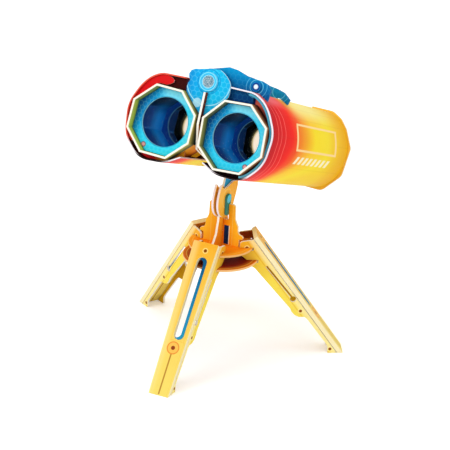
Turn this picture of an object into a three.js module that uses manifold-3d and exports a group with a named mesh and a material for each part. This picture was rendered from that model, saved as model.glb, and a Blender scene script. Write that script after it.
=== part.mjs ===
// Toy binoculars on a card tripod, built up from slotted foam board and folded printed card.
// Millimetres, +Z up. The objective ends face -Y and the viewer's right-hand barrel is at +X.
import * as THREE from 'three';
import { mergeVertices } from 'three/addons/utils/BufferGeometryUtils.js';
import Module from 'manifold-3d';

const wasm = await Module();
wasm.setup();

// Stock and fits
const BOARD = 1.8;
const CARD = 1.2;
const FIT = 0.3;
const ROUND_STEPS = 40;

// Poses of the photographed object, in degrees
const PITCH = 23;
const FOLD = 2.5;

// Tripod: three legs hooked on two discs
const LEG_COUNT = 3;
const LEG_TOP_RADIUS = 27.6;
const LEG_TOP_HEIGHT = 102;
const LEG_FOOT_RADIUS = 101.7;
const LEG_TOP_WIDTH = 21.4;
const LEG_FOOT_WIDTH = 17;
const LEG_FACE_THICKNESS = 3.6;
const LEG_SLOT_START = 12;
const LEG_SLOT_LENGTH = 68;
const LEG_SLOT_WIDTH = 8.6;
const LEG_SLOT_OFFSET = 1.4;
const LEG_LINER_WIDTH = 2.6;
const LEG_LINER_THICKNESS = 2.4;
const CHEEK_HOOK_RADIUS = 14;
const CHEEK_DEPTH_TOP = 16.9;
const CHEEK_DEPTH_WAIST = 13.2;
const CHEEK_DEPTH_SHIN = 7.2;
const CHEEK_WAIST_AT = 68;
const CHEEK_SLIT_START = 26;
const CHEEK_SLIT_LENGTH = 34;
const CHEEK_SLIT_WIDTH = 1.7;
const CHEEK_EYE_RADIUS = 2.5;
const FOOT_LENGTH = 11.4;
const UPPER_DISC_RADIUS = 26;
const UPPER_DISC_DROP = 10.2;
const LOWER_DISC_RADIUS = 30;
const DISC_SPACING = 10.5;

// Post: two crossed plates standing on the upper disc
const POST_WIDTH = 22.4;
const POST_HEIGHT = 34.7;
const POST_BASE_WIDTH = 31.2;
const POST_LOBE_WIDTH = 38.2;
const POST_SPINE_BASE = 35;
const POST_LAP_RISE = 10.6;
const PIVOT_RISE = 38.7;
const PIVOT_HEAD_RADIUS = 7;
const PIVOT_PIN_RADIUS = 2.3;
const PIVOT_CAP_RADIUS = 4;
const PIVOT_CAP_TAIL = 11;

// Bridge between the barrels. Y runs back from the front edge of the hoods,
// Z runs up from the line between the two barrel axes.
const PIVOT_BACK = 81.2;
const PIVOT_DROP = 48.9;
const HINGE_HEIGHT = 37.5;
const HINGE_ROD_RADIUS = 2.6;
const HINGE_BOSS_RADIUS = 10.5;
const HINGE_CAP_RADIUS = 7.5;
const HINGE_CAP_THICKNESS = 1.9;
const SHIELD_FRONT = 5;
const SHIELD_HALF_WIDTH = 18.5;
const ARM_PITCH = 2.4;
const REAR_ARM_FRONT = 53.4;
const REAR_SHIELD_RADIUS = 12;
const TILT_PLATE_RADIUS = 15.5;
const KEEL_LENGTH = 128;

// Barrels, about their own axes with the hinge closed
const BARREL_OFFSET = 28.7;
const BARREL_DROP = 38.7;
const HOOD_RADIUS = 29.4;
const HOOD_WALL = 1.6;
const HOOD_LENGTH = 34;
const RING_RECESS = 8;
const RING_HOLE_RADIUS = 19.3;
const LENS_THICKNESS = 1.5;
const LENS_LAP = 2.4;
const TUBE_RADIUS = 24;
const TUBE_INSET = 22.5;
const BAFFLE_AT = 52;
const BAFFLE_HOLE_RADIUS = 17;
const HOLDER_AT = 75;
const FIELD_LENS_RADIUS = 15;
const FORMER_FRONT = 12;
const MID_FORMER_FRONT = 62;
const END_PLATE_RIM = 1.4;
const SHELL_FRONT = 3.5;
const SHELL_LENGTH = 169;
const SHELL_REAR_SCALE = 0.9;
const SHELL_REAR_RISE = 1.2;
const SHELL_CORNER_RADIUS = 7;
const EYEPIECE_LENGTH = 42;
const EYECUP_RADIUS = 26.4;
const EYECUP_LENGTH = 6;
const RIVET_RADIUS = 3.7;

// Section of the right shell seen from the front, from its top inner edge round the outside
const SHELL_SECTION = [
  [-9.4, 37.7], [10.9, 36.5], [19.5, 31.2], [25.6, 23.3], [32.6, 7.2],
  [28.6, -17.4], [12.7, -32.5], [-10.3, -30.6], [-22.3, -23.4],
];

// Heights that follow from the legs
const upperDiscTop = LEG_TOP_HEIGHT - UPPER_DISC_DROP;
const lowerDiscTop = upperDiscTop - DISC_SPACING;
const postTop = upperDiscTop + POST_HEIGHT;
const lapHeight = upperDiscTop + POST_LAP_RISE;
const pivotHeight = upperDiscTop + PIVOT_RISE;

const rad = THREE.MathUtils.degToRad;
const OCT = Math.cos(Math.PI / 8);

// Colours of the printed card
const PAPER = {
  yellow: [0xf9dd6b, 0.62],
  gold: [0xf5b52e, 0.62],
  orange: [0xf98a0a, 0.6],
  red: [0xe3202a, 0.5],
  shell: [0xf0623a, 0.42],
  lime: [0xb9bd55, 0.6],
  cyan: [0x1cb9e6, 0.5],
  blue: [0x0a78b8, 0.5],
  navy: [0x0c3470, 0.6],
  maroon: [0x7a1f18, 0.6],
  cream: [0xe8dcc6, 0.4],
  clear: [0xdcecf2, 0.08],
  dark: [0x1b2431, 0.6],
};

function paper(key) {
  const [color, roughness] = PAPER[key];
  return new THREE.MeshStandardMaterial({ color, roughness, metalness: 0 });
}

function add(group, name, geometry, key) {
  const mesh = new THREE.Mesh(geometry, paper(key));
  mesh.name = name;
  group.add(mesh);
  return mesh;
}

// Solids

function bare(geometry) {
  const copy = geometry.clone();
  copy.deleteAttribute('normal');
  copy.deleteAttribute('uv');
  return mergeVertices(copy, 1e-4);
}

function solid(geometry) {
  const clean = bare(geometry);
  return new wasm.Manifold(new wasm.Mesh({
    numProp: 3,
    vertProperties: new Float32Array(clean.attributes.position.array),
    triVerts: new Uint32Array(clean.index.array),
  }));
}

function geometryOf(manifold) {
  const mesh = manifold.getMesh();
  const geometry = new THREE.BufferGeometry();
  geometry.setAttribute('position', new THREE.BufferAttribute(new Float32Array(mesh.vertProperties), 3));
  geometry.setIndex(new THREE.BufferAttribute(new Uint32Array(mesh.triVerts), 1));
  geometry.computeVertexNormals();
  return geometry;
}

function cut(geometry, ...cutters) {
  let body = solid(geometry);
  for (const cutter of cutters) {
    body = body.subtract(solid(cutter));
  }
  return geometryOf(body);
}

// A closed body from shared points and faces; the faces are turned out by their volume
function closedBody(points, faces) {
  const triangles = [];
  for (const face of faces) {
    for (let i = 1; i + 1 < face.length; i++) {
      triangles.push([face[0], face[i], face[i + 1]]);
    }
  }
  let volume = 0;
  const a = new THREE.Vector3();
  const b = new THREE.Vector3();
  const c = new THREE.Vector3();
  for (const [i, j, k] of triangles) {
    volume += a.fromArray(points[i]).dot(b.fromArray(points[j]).cross(c.fromArray(points[k])));
  }
  const order = volume < 0 ? triangles.map(([i, j, k]) => [i, k, j]) : triangles;
  const geometry = new THREE.BufferGeometry();
  geometry.setAttribute('position', new THREE.Float32BufferAttribute(points.flat(), 3));
  geometry.setIndex(order.flat());
  geometry.computeVertexNormals();
  return geometry;
}

// Outlines

function circle(radius, x = 0, y = 0, steps = ROUND_STEPS) {
  const points = [];
  for (let i = 0; i < steps; i++) {
    const angle = (2 * Math.PI * i) / steps;
    points.push([x + radius * Math.cos(angle), y + radius * Math.sin(angle)]);
  }
  return points;
}

function arc(radius, x, y, from, to, steps) {
  const points = [];
  for (let i = 0; i <= steps; i++) {
    const angle = rad(from + ((to - from) * i) / steps);
    points.push([x + radius * Math.cos(angle), y + radius * Math.sin(angle)]);
  }
  return points;
}

function octagon(radius) {
  const points = [];
  for (let i = 0; i < 8; i++) {
    const angle = Math.PI / 8 + (i * Math.PI) / 4;
    points.push([radius * Math.cos(angle), radius * Math.sin(angle)]);
  }
  return points;
}

function moved(points, x, y) {
  return points.map(([a, b]) => [a + x, b + y]);
}

function mirrored(points) {
  return points.map(([a, b]) => [-a, b]).reverse();
}

// Rounds the corners of an outline; an open line keeps its two ends
function rounded(points, radius, closed = true, steps = 3) {
  const count = points.length;
  const result = [];
  for (let i = 0; i < count; i++) {
    if (!closed && (i === 0 || i === count - 1)) {
      result.push(points[i]);
      continue;
    }
    const here = new THREE.Vector2(...points[i]);
    const before = new THREE.Vector2(...points[(i + count - 1) % count]).sub(here);
    const after = new THREE.Vector2(...points[(i + 1) % count]).sub(here);
    const half = Math.acos(THREE.MathUtils.clamp(before.dot(after) / (before.length() * after.length()), -1, 1)) / 2;
    const reach = Math.min(radius / Math.tan(half), 0.45 * before.length(), 0.45 * after.length());
    const start = here.clone().addScaledVector(before.normalize(), reach);
    const end = here.clone().addScaledVector(after.normalize(), reach);
    const curve = new THREE.QuadraticBezierCurve(start, here, end);
    for (const point of curve.getPoints(steps)) {
      result.push([point.x, point.y]);
    }
  }
  return result;
}

// Moves an open line sideways, to the right of its direction for a positive distance
function offsetLine(points, distance) {
  return points.map((point, i) => {
    const here = new THREE.Vector2(...point);
    const normals = [];
    if (i > 0) {
      const d = here.clone().sub(new THREE.Vector2(...points[i - 1])).normalize();
      normals.push(new THREE.Vector2(d.y, -d.x));
    }
    if (i < points.length - 1) {
      const d = new THREE.Vector2(...points[i + 1]).sub(here).normalize();
      normals.push(new THREE.Vector2(d.y, -d.x));
    }
    const sum = normals.reduce((s, n) => s.add(n), new THREE.Vector2());
    sum.multiplyScalar(distance / sum.dot(normals[0]));
    return [here.x + sum.x, here.y + sum.y];
  });
}

// Plates

function sheet(outline, thickness, holes = []) {
  const shape = new THREE.Shape(outline.map(([x, y]) => new THREE.Vector2(x, y)));
  for (const hole of holes) {
    shape.holes.push(new THREE.Path(hole.map(([x, y]) => new THREE.Vector2(x, y))));
  }
  return new THREE.ExtrudeGeometry(shape, { depth: thickness, bevelEnabled: false, curveSegments: 1 });
}

const ACROSS = new THREE.Matrix4().makeBasis(
  new THREE.Vector3(1, 0, 0), new THREE.Vector3(0, 0, 1), new THREE.Vector3(0, -1, 0));
const ALONG = new THREE.Matrix4().makeBasis(
  new THREE.Vector3(0, 1, 0), new THREE.Vector3(0, 0, 1), new THREE.Vector3(1, 0, 0));

// A plate square to the barrels, its front face at y = front, drawn in x and z
function across(outline, front, thickness, holes = []) {
  return sheet(outline, thickness, holes).applyMatrix4(ACROSS).translate(0, front + thickness, 0);
}

// An upright plate along the barrels, centred on x = middle, drawn in y and z
function along(outline, middle, thickness, holes = []) {
  return sheet(outline, thickness, holes).applyMatrix4(ALONG).translate(middle - thickness / 2, 0, 0);
}

function box(x0, x1, y0, y1, z0, z1) {
  return new THREE.BoxGeometry(x1 - x0, y1 - y0, z1 - z0)
    .translate((x0 + x1) / 2, (y0 + y1) / 2, (z0 + z1) / 2);
}

const root = new THREE.Group();

// Tripod legs. Each leg is drawn in its own upright plane: r outward, z up, t across.
const legDirection = new THREE.Vector2(LEG_FOOT_RADIUS - LEG_TOP_RADIUS, -LEG_TOP_HEIGHT);
const legLength = legDirection.length();
legDirection.normalize();
const legInward = new THREE.Vector2(legDirection.y, -legDirection.x);

// Point s along the outer face of the leg and d inward from it
function onLeg(s, d) {
  return [
    LEG_TOP_RADIUS + s * legDirection.x + d * legInward.x,
    LEG_TOP_HEIGHT + s * legDirection.y + d * legInward.y,
  ];
}

// Point on the ground at depth d inward from the outer face
function onGround(d) {
  const s = (LEG_TOP_HEIGHT + d * legInward.y) / -legDirection.y;
  return onLeg(s, d);
}

function legHalfWidth(s) {
  return (LEG_TOP_WIDTH + ((LEG_FOOT_WIDTH - LEG_TOP_WIDTH) * s) / legLength) / 2;
}

function alongLeg([r, z]) {
  return (r - LEG_TOP_RADIUS) * legDirection.x + (z - LEG_TOP_HEIGHT) * legDirection.y;
}

// Leg coordinates into the tripod: the leg points to -Y before it is turned
const LEG_FRAME = new THREE.Matrix4().makeBasis(
  new THREE.Vector3(0, -1, 0), new THREE.Vector3(0, 0, 1), new THREE.Vector3(-1, 0, 0));

// Face coordinates: along the leg, across it to the left, and inward from its outer face
const FACE_FRAME = new THREE.Matrix4().makeBasis(
  new THREE.Vector3(0, -legDirection.x, legDirection.y),
  new THREE.Vector3(-1, 0, 0),
  new THREE.Vector3(0, -legInward.x, legInward.y),
).setPosition(0, -LEG_TOP_RADIUS, LEG_TOP_HEIGHT);

function slotOutline(margin, shift, shorten) {
  const radius = LEG_SLOT_WIDTH / 2 - margin;
  const start = LEG_SLOT_START + LEG_SLOT_WIDTH / 2 + shorten;
  const end = LEG_SLOT_START + LEG_SLOT_LENGTH - LEG_SLOT_WIDTH / 2 - shorten;
  const middle = shift - LEG_SLOT_OFFSET;
  return [
    ...arc(radius, end, middle, -90, 90, 10),
    ...arc(radius, start, middle, 90, 270, 10),
  ];
}

function legFace() {
  const points = [];
  const corners = [
    onLeg(0, 0), onGround(0), onGround(LEG_FACE_THICKNESS), onLeg(0, LEG_FACE_THICKNESS),
  ];
  for (const side of [-1, 1]) {
    for (const corner of corners) {
      points.push([side * legHalfWidth(alongLeg(corner)), -corner[0], corner[1]]);
    }
  }
  const faces = [[0, 1, 2, 3], [7, 6, 5, 4]];
  for (let i = 0; i < 4; i++) {
    const j = (i + 1) % 4;
    faces.push([j, i, i + 4, j + 4]);
  }
  const slot = sheet(slotOutline(0, 0, 0), LEG_FACE_THICKNESS + 2).translate(0, 0, -1).applyMatrix4(FACE_FRAME);
  return cut(closedBody(points, faces), slot);
}

function legLiner() {
  const depth = (LEG_FACE_THICKNESS - LEG_LINER_THICKNESS) / 2;
  const band = sheet(slotOutline(FIT, 0, 0), LEG_LINER_THICKNESS).translate(0, 0, depth);
  const window = sheet(slotOutline(FIT, LEG_LINER_WIDTH, LEG_LINER_WIDTH / 2), LEG_LINER_THICKNESS + 2)
    .translate(0, 0, depth - 1);
  return cut(band, window).applyMatrix4(FACE_FRAME);
}

// The discs' rims where a cheek crosses them, out from the tripod's axis
const cheekInside = LEG_TOP_WIDTH / 2 - BOARD - 1;
const upperNotch = Math.sqrt(UPPER_DISC_RADIUS ** 2 - cheekInside ** 2) + FIT;
const lowerNotch = Math.sqrt(LOWER_DISC_RADIUS ** 2 - cheekInside ** 2) + FIT;
const upperDiscUnder = upperDiscTop - BOARD;
const lowerDiscUnder = lowerDiscTop - BOARD;
const cheekFront = LEG_FACE_THICKNESS + FIT;

function cheekOutline() {
  const shoulder = onLeg(1, cheekFront);
  const heel = onGround(cheekFront);
  const toe = heel[0] - FOOT_LENGTH + LEG_FACE_THICKNESS;
  const hook = CHEEK_HOOK_RADIUS;
  return [
    shoulder,
    [hook + 1.5, shoulder[1] - 1.6],
    [hook, shoulder[1] - 3],
    [hook, upperDiscTop + FIT],
    [upperNotch, upperDiscTop + FIT],
    [upperNotch, upperDiscUnder - FIT],
    [hook + 0.6, upperDiscUnder - FIT],
    [hook + 0.4, upperDiscUnder - 3],
    [hook + 2.2, (upperDiscUnder + lowerDiscTop) / 2 - 1],
    [hook + 6, lowerDiscTop + FIT],
    [lowerNotch, lowerDiscTop + FIT],
    [lowerNotch, lowerDiscUnder - FIT],
    [hook + 8.5, lowerDiscUnder - FIT],
    [hook + 8, lowerDiscUnder - 2],
    onLeg(22, CHEEK_DEPTH_TOP),
    onLeg(CHEEK_WAIST_AT, CHEEK_DEPTH_WAIST),
    onLeg(CHEEK_WAIST_AT + 3, CHEEK_DEPTH_WAIST + 0.7),
    onLeg(CHEEK_WAIST_AT + 7, CHEEK_DEPTH_WAIST + 0.4),
    onLeg(CHEEK_WAIST_AT + 10.5, CHEEK_DEPTH_WAIST - 1.6),
    onLeg(CHEEK_WAIST_AT + 13, CHEEK_DEPTH_SHIN + 0.8),
    onLeg(CHEEK_WAIST_AT + 16, CHEEK_DEPTH_SHIN),
    onLeg(legLength - 16, CHEEK_DEPTH_SHIN - 0.5),
    [toe - 0.2, 6],
    [toe, 0],
    heel,
  ];
}

// Narrow slit that widens into a round eye
function keyhole() {
  const half = CHEEK_SLIT_WIDTH / 2;
  const depth = 8.3;
  const slope = -1.6 / CHEEK_SLIT_LENGTH;
  const end = CHEEK_SLIT_START + CHEEK_SLIT_LENGTH;
  const eyeDepth = depth + slope * CHEEK_SLIT_LENGTH;
  const points = [
    [CHEEK_SLIT_START, depth - half],
    [CHEEK_SLIT_START, depth + half],
    ...arc(CHEEK_EYE_RADIUS, end + CHEEK_EYE_RADIUS, eyeDepth, 160, -160, 12),
  ];
  return points.map(([s, d]) => onLeg(s, d));
}

function legCheek(side) {
  const plate = sheet(cheekOutline(), BOARD, [keyhole()]).translate(0, 0, -BOARD / 2);
  const lean = (LEG_FOOT_WIDTH - LEG_TOP_WIDTH) / 2 / legLength;
  const middle = LEG_TOP_WIDTH / 2 - BOARD / 2 - 0.02;
  const position = plate.attributes.position;
  for (let i = 0; i < position.count; i++) {
    const s = alongLeg([position.getX(i), position.getY(i)]);
    position.setZ(i, position.getZ(i) - side * (middle + lean * s));
  }
  return plate.applyMatrix4(LEG_FRAME);
}

const LEG_NAMES = ['front', 'right', 'left'];
for (let i = 0; i < LEG_COUNT; i++) {
  const leg = new THREE.Group();
  leg.rotation.z = (i * 2 * Math.PI) / LEG_COUNT;
  const name = `leg_${LEG_NAMES[i]}`;
  add(leg, `${name}_face`, legFace(), 'yellow');
  add(leg, `${name}_slot_liner`, legLiner(), 'blue');
  add(leg, `${name}_cheek_left`, legCheek(-1), 'gold');
  add(leg, `${name}_cheek_right`, legCheek(1), 'gold');
  root.add(leg);
}

// Discs
function disc(radius, top) {
  return new THREE.CylinderGeometry(radius, radius, BOARD, 64)
    .rotateX(Math.PI / 2)
    .translate(0, 0, top - BOARD / 2);
}
add(root, 'disc_upper', disc(UPPER_DISC_RADIUS, upperDiscTop), 'orange');
add(root, 'disc_lower', disc(LOWER_DISC_RADIUS, lowerDiscTop), 'orange');

// Stack across the tilt pivot, out from the middle plane
const tiltPlateMiddle = BOARD / 2 + FIT + BOARD / 2;
const tiltPlateOutside = tiltPlateMiddle + BOARD / 2;
const capMiddle = tiltPlateOutside + FIT + BOARD / 2;
const postNotch = capMiddle + BOARD / 2 + 0.6;
const lapHalf = BOARD / 2 + FIT;
const postNotchFloor = pivotHeight - TILT_PLATE_RADIUS - 2;

// Post plate that faces the front
function postCross() {
  const base = POST_BASE_WIDTH / 2;
  const lobe = POST_LOBE_WIDTH / 2;
  const half = POST_WIDTH / 2;
  const rise = LEG_TOP_HEIGHT - 4;
  const right = [
    [lapHalf, lapHeight],
    [lapHalf, postNotchFloor],
    [postNotch, postNotchFloor],
    [postNotch, postTop],
    [half - 1.2, postTop],
    [half, postTop - 1.4],
    [half + 0.3, postNotchFloor + 1.5],
    [half + 1.2, postNotchFloor - 1],
    [half + 3, postNotchFloor - 4.5],
    [half + 3, rise + 7],
    [half + 4.2, rise + 4.4],
    [lobe - 0.9, rise + 3.4],
    [lobe, rise + 2],
    [lobe - 0.6, rise + 0.7],
    [base, rise],
    [base, upperDiscTop],
  ];
  return across([...right, ...mirrored(right)], -BOARD / 2, BOARD);
}

// Post plate that carries the tilt pivot, with a lap slot for the other plate
function postSpine() {
  const base = POST_SPINE_BASE / 2;
  const head = PIVOT_HEAD_RADIUS;
  const back = [
    [lapHalf, upperDiscTop],
    [base, upperDiscTop],
    [base, upperDiscTop + 3.4],
    [base - 3.4, upperDiscTop + 6.6],
    [base - 7, upperDiscTop + 11.5],
    [base - 8.2, upperDiscTop + 16.5],
    [head + 0.9, upperDiscTop + 21],
    [head + 0.1, pivotHeight - 10],
  ];
  const crown = arc(head, 0, pivotHeight, 0, 180, 14);
  const front = back.map(([y, z]) => [-y, z]).reverse();
  const slot = [[-lapHalf, lapHeight + FIT], [lapHalf, lapHeight + FIT]];
  const hole = circle(PIVOT_PIN_RADIUS + FIT, 0, pivotHeight, 24);
  return along([...back, ...crown, ...front, ...slot], 0, BOARD, [hole]);
}
add(root, 'post_cross_plate', postCross(), 'orange');
add(root, 'post_spine_plate', postSpine(), 'gold');

// Tilt pin with a long-tailed cap on each side
const pinHalf = tiltPlateOutside + 0.1;
add(root, 'tilt_pin', along(circle(PIVOT_PIN_RADIUS, 0, pivotHeight, 24), 0, 2 * pinHalf), 'blue');

function tiltCap(side) {
  const outline = [
    ...arc(PIVOT_CAP_RADIUS, 0, pivotHeight, -20, 200, 18),
    ...arc(PIVOT_CAP_RADIUS * 0.7, -1, pivotHeight - PIVOT_CAP_TAIL, 190, 350, 10),
  ];
  return along(outline, side * capMiddle, BOARD);
}
add(root, 'tilt_cap_left', tiltCap(-1), 'cyan');
add(root, 'tilt_cap_right', tiltCap(1), 'cyan');

// Everything that tilts hangs on the pivot
const tilting = new THREE.Group();
tilting.position.set(0, 0, pivotHeight);
tilting.rotation.x = -rad(PITCH);
root.add(tilting);

// Bridge frame: y back from the hoods' front edge, z up from the barrel axes
const bridge = new THREE.Group();
bridge.position.set(0, -PIVOT_BACK, PIVOT_DROP);
tilting.add(bridge);

const armTop = HINGE_HEIGHT - HINGE_BOSS_RADIUS - 0.7;
const rearShieldFront = REAR_ARM_FRONT + 2 * ARM_PITCH;
const frontSlotTop = HINGE_HEIGHT - HINGE_CAP_RADIUS - 0.7;
const rodHole = HINGE_ROD_RADIUS + FIT;

// Upright plate between the barrels with a tongue down to the tilt plates
function keel() {
  const tongue = -PIVOT_DROP + PIVOT_HEAD_RADIUS + 1.4;
  const outline = [
    [1, frontSlotTop - FIT],
    [1, 4],
    [9, -15],
    [30, -21],
    [62, -25],
    [PIVOT_BACK - 5.7, -32],
    [PIVOT_BACK - 5.7, tongue],
    [PIVOT_BACK + 14.8, tongue],
    [PIVOT_BACK + 14.8, -30],
    [KEEL_LENGTH - 22, -23],
    [KEEL_LENGTH - 4, -10],
    [KEEL_LENGTH, 0],
    [KEEL_LENGTH - 6, 12],
    [rearShieldFront + BOARD + 14, armTop],
    [SHIELD_FRONT + BOARD, armTop],
    [SHIELD_FRONT + BOARD, frontSlotTop - FIT],
  ];
  return along(outline, 0, BOARD);
}
add(bridge, 'keel_plate', keel(), 'maroon');

// Front shield with its pivot lug, slotted over the keel
function shieldFront() {
  const keelSlot = BOARD / 2 + FIT;
  const k = SHIELD_HALF_WIDTH / 18.5;
  const slotTop = frontSlotTop - HINGE_HEIGHT;
  const leaf = [
    [2.4, -25.4],
    [9.5, -18.6],
    [16.2, -11.6],
    [18.2, -8.6],
    [18.5, -4],
    [18, 0.5],
    [16.4, 3.6],
    [13.6, 6.4],
    [10.4, 8.9],
    [7, 10.6],
    [0, 10.2],
    [-6, 9],
    [-10.2, 8],
    [-13.4, 7.6],
    [-16.4, 6],
    [-17.9, 3],
    [-17.3, 0.6],
    [-15.7, -1.8],
    [-17, -4],
    [-17.4, -7.5],
    [-16.6, -11],
    [-9.5, -18.6],
    [-2.4, -25.4],
  ].map(([x, z]) => [x * k, z * k]);
  const tip = -25.6 * k;
  const outline = [
    [keelSlot, slotTop], [keelSlot, tip], ...leaf, [-keelSlot, tip], [-keelSlot, slotTop],
  ];
  const hole = circle(rodHole, 0, 0, 24);
  return across(outline, SHIELD_FRONT, BOARD, [hole]).translate(0, 0, HINGE_HEIGHT);
}
add(bridge, 'hinge_shield_front', shieldFront(), 'cyan');

function shieldRear() {
  const keelSlot = BOARD / 2 + FIT;
  const slotTop = armTop + FIT - HINGE_HEIGHT;
  const outline = [
    [keelSlot, slotTop],
    [keelSlot, slotTop - 9],
    [5.5, slotTop - 9],
    ...arc(REAR_SHIELD_RADIUS, 0, 0, -50, 230, 26),
    [-5.5, slotTop - 9],
    [-keelSlot, slotTop - 9],
    [-keelSlot, slotTop],
  ];
  return across(outline, rearShieldFront, BOARD, [circle(rodHole, 0, 0, 24)]).translate(0, 0, HINGE_HEIGHT);
}
add(bridge, 'hinge_shield_rear', shieldRear(), 'blue');

function rodStation(radius, front, length, steps) {
  return across(circle(radius, 0, HINGE_HEIGHT, steps), front, length);
}
const rodRear = rearShieldFront + BOARD;
add(bridge, 'hinge_rod', rodStation(HINGE_ROD_RADIUS, SHIELD_FRONT, rodRear - SHIELD_FRONT, 24), 'cream');

// Round cap with a raised rim in front of the shield
function hingeCap() {
  const back = SHIELD_FRONT - FIT;
  const front = back - HINGE_CAP_THICKNESS;
  const body = rodStation(HINGE_CAP_RADIUS, front, HINGE_CAP_THICKNESS, ROUND_STEPS);
  const dish = rodStation(HINGE_CAP_RADIUS - 1.7, front - 1, 1.6, ROUND_STEPS);
  return cut(body, dish);
}
add(bridge, 'hinge_cap', hingeCap(), 'cyan');
add(bridge, 'hinge_nut', rodStation(HINGE_CAP_RADIUS - 1.5, rodRear + FIT, 2.4, 6), 'blue');

// Pair of rounded plates that hold the keel's tongue and ride on the pivot
function tiltPlate(side) {
  const k = TILT_PLATE_RADIUS / 15.5;
  const crest = [
    [-14.6, 9.4], [-8.6, 6.4], [-2, 9.4], [5.5, 14], [14.4, 15.8], [16, 12], [16, 4],
  ].map(([y, z]) => [y * k, z * k]);
  const outline = [
    ...crest,
    ...arc(TILT_PLATE_RADIUS, 0, 0, 4, -176, 22),
    [-15.6 * k, 5 * k],
  ];
  const hole = circle(PIVOT_PIN_RADIUS + FIT, PIVOT_BACK, -PIVOT_DROP, 24);
  return along(moved(outline.reverse(), PIVOT_BACK, -PIVOT_DROP), side * tiltPlateMiddle, BOARD, [hole]);
}
add(bridge, 'tilt_plate_left', tiltPlate(-1), 'gold');
add(bridge, 'tilt_plate_right', tiltPlate(1), 'gold');

// Barrels. Each is drawn about its own axis as the right barrel and mirrored for the left one.

function shellScale(y) {
  return 1 + ((SHELL_REAR_SCALE - 1) * (y - SHELL_FRONT)) / SHELL_LENGTH;
}

const shellLine = rounded(SHELL_SECTION, SHELL_CORNER_RADIUS, false);

// Section of the shell at y, moved in by a margin
function shellAt(y, margin) {
  const k = shellScale(y);
  const rise = (SHELL_REAR_RISE * (y - SHELL_FRONT)) / SHELL_LENGTH;
  return offsetLine(shellLine.map(([x, z]) => [x * k, z * k + rise]), margin);
}

function shell(side) {
  const rings = [[SHELL_FRONT, 0], [shellRear, 0], [shellRear, CARD], [SHELL_FRONT, CARD]];
  const points = [];
  for (const [y, margin] of rings) {
    for (const [x, z] of shellAt(y, margin)) {
      points.push([side * x, y, z]);
    }
  }
  const count = shellLine.length;
  const faces = [];
  for (let ring = 0; ring < 4; ring++) {
    const here = ring * count;
    const next = ((ring + 1) % 4) * count;
    for (let i = 0; i + 1 < count; i++) {
      faces.push([here + i, here + i + 1, next + i + 1, next + i]);
    }
  }
  const last = count - 1;
  faces.push([0, count, 2 * count, 3 * count]);
  faces.push([3 * count + last, 2 * count + last, count + last, last]);
  return closedBody(points, faces);
}

// Plate that fills the shell's section
function former(side, front, margin, hole) {
  const outline = shellAt(Math.min(front + BOARD, shellRear), margin);
  const plate = across(side > 0 ? outline : mirrored(outline), front, BOARD);
  return cut(plate, across(hole, front - 1, BOARD + 2));
}

function octTube(radius, wall, front, length) {
  return across(octagon(radius), front, length, [octagon(radius - wall / OCT)]);
}

const hoodInside = HOOD_RADIUS - (HOOD_WALL + FIT) / OCT;
const tubeInside = TUBE_RADIUS - (CARD + FIT) / OCT;
const eyepieceInside = (tubeInside * OCT) - CARD - FIT;
const lensFront = RING_RECESS + BOARD + FIT;
const tubeFront = lensFront + LENS_THICKNESS + FIT;
const lensRadius = Math.min(RING_HOLE_RADIUS + LENS_LAP, hoodInside * OCT - FIT);
const shellRear = SHELL_FRONT + SHELL_LENGTH;
const tubeRear = shellRear - TUBE_INSET;
const endPlateFront = shellRear + FIT;
const eyecupFront = endPlateFront + BOARD + FIT;
const eyepieceRear = eyecupFront + EYECUP_LENGTH;
const tubeHole = octagon(TUBE_RADIUS + FIT / OCT);
const eyepieceHole = octagon(tubeInside + FIT / OCT);

// Arms reach from the hinge rod to the barrels. They are drawn about the rod with the hinge closed.
const boss = HINGE_BOSS_RADIUS;
const hoodTop = -BARREL_DROP + (HOOD_RADIUS + 0.5) * OCT;
const slitInner = BARREL_OFFSET + SHELL_SECTION[0][0];
const slitOuter = BARREL_OFFSET + 8;

// Top of the shell over the point x from the rod, at the station y
function shellTop(x, y) {
  const line = shellAt(y, 0);
  const local = x - BARREL_OFFSET;
  for (let i = 0; i + 1 < line.length; i++) {
    const [x0, z0] = line[i];
    const [x1, z1] = line[i + 1];
    if (local >= x0 && local <= x1) {
      return z0 + ((z1 - z0) * (local - x0)) / (x1 - x0) - BARREL_DROP;
    }
  }
  return line[0][1] - BARREL_DROP;
}

// Right arm: over the shell outside, and through a slit in the shell at its inner end
function overArm(front, crest, tip, floor) {
  const over = [];
  for (let i = 0; i <= 6; i++) {
    const x = tip[0] - 1.5 + ((slitOuter - tip[0] + 1.5) * i) / 6;
    over.push([x, shellTop(x, front) + FIT + 0.15]);
  }
  const outline = [
    ...arc(boss, 0, 0, 250, 100, 14),
    ...crest,
    tip,
    ...over,
    [slitOuter, floor],
    [slitInner - 2, floor],
    [boss * 0.8, -boss * 0.8],
  ];
  return outline.reverse();
}

// Left arm: a tongue that stays under the shell
function underArm(front, floor) {
  const reach = BARREL_OFFSET + 12;
  const roof = [];
  for (let i = 0; i <= 5; i++) {
    const x = slitInner - 3 + ((reach - slitInner + 3) * i) / 5;
    roof.push([x, shellTop(Math.max(x, slitInner), front) - CARD - FIT - 0.1]);
  }
  const outline = [
    ...arc(boss, 0, 0, 250, 20, 18),
    ...roof,
    [reach + 2, (roof[5][1] + floor) / 2],
    [reach, floor],
    [slitInner - 2, floor],
    [boss * 0.8, -boss * 0.8],
  ];
  return outline.reverse();
}

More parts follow.
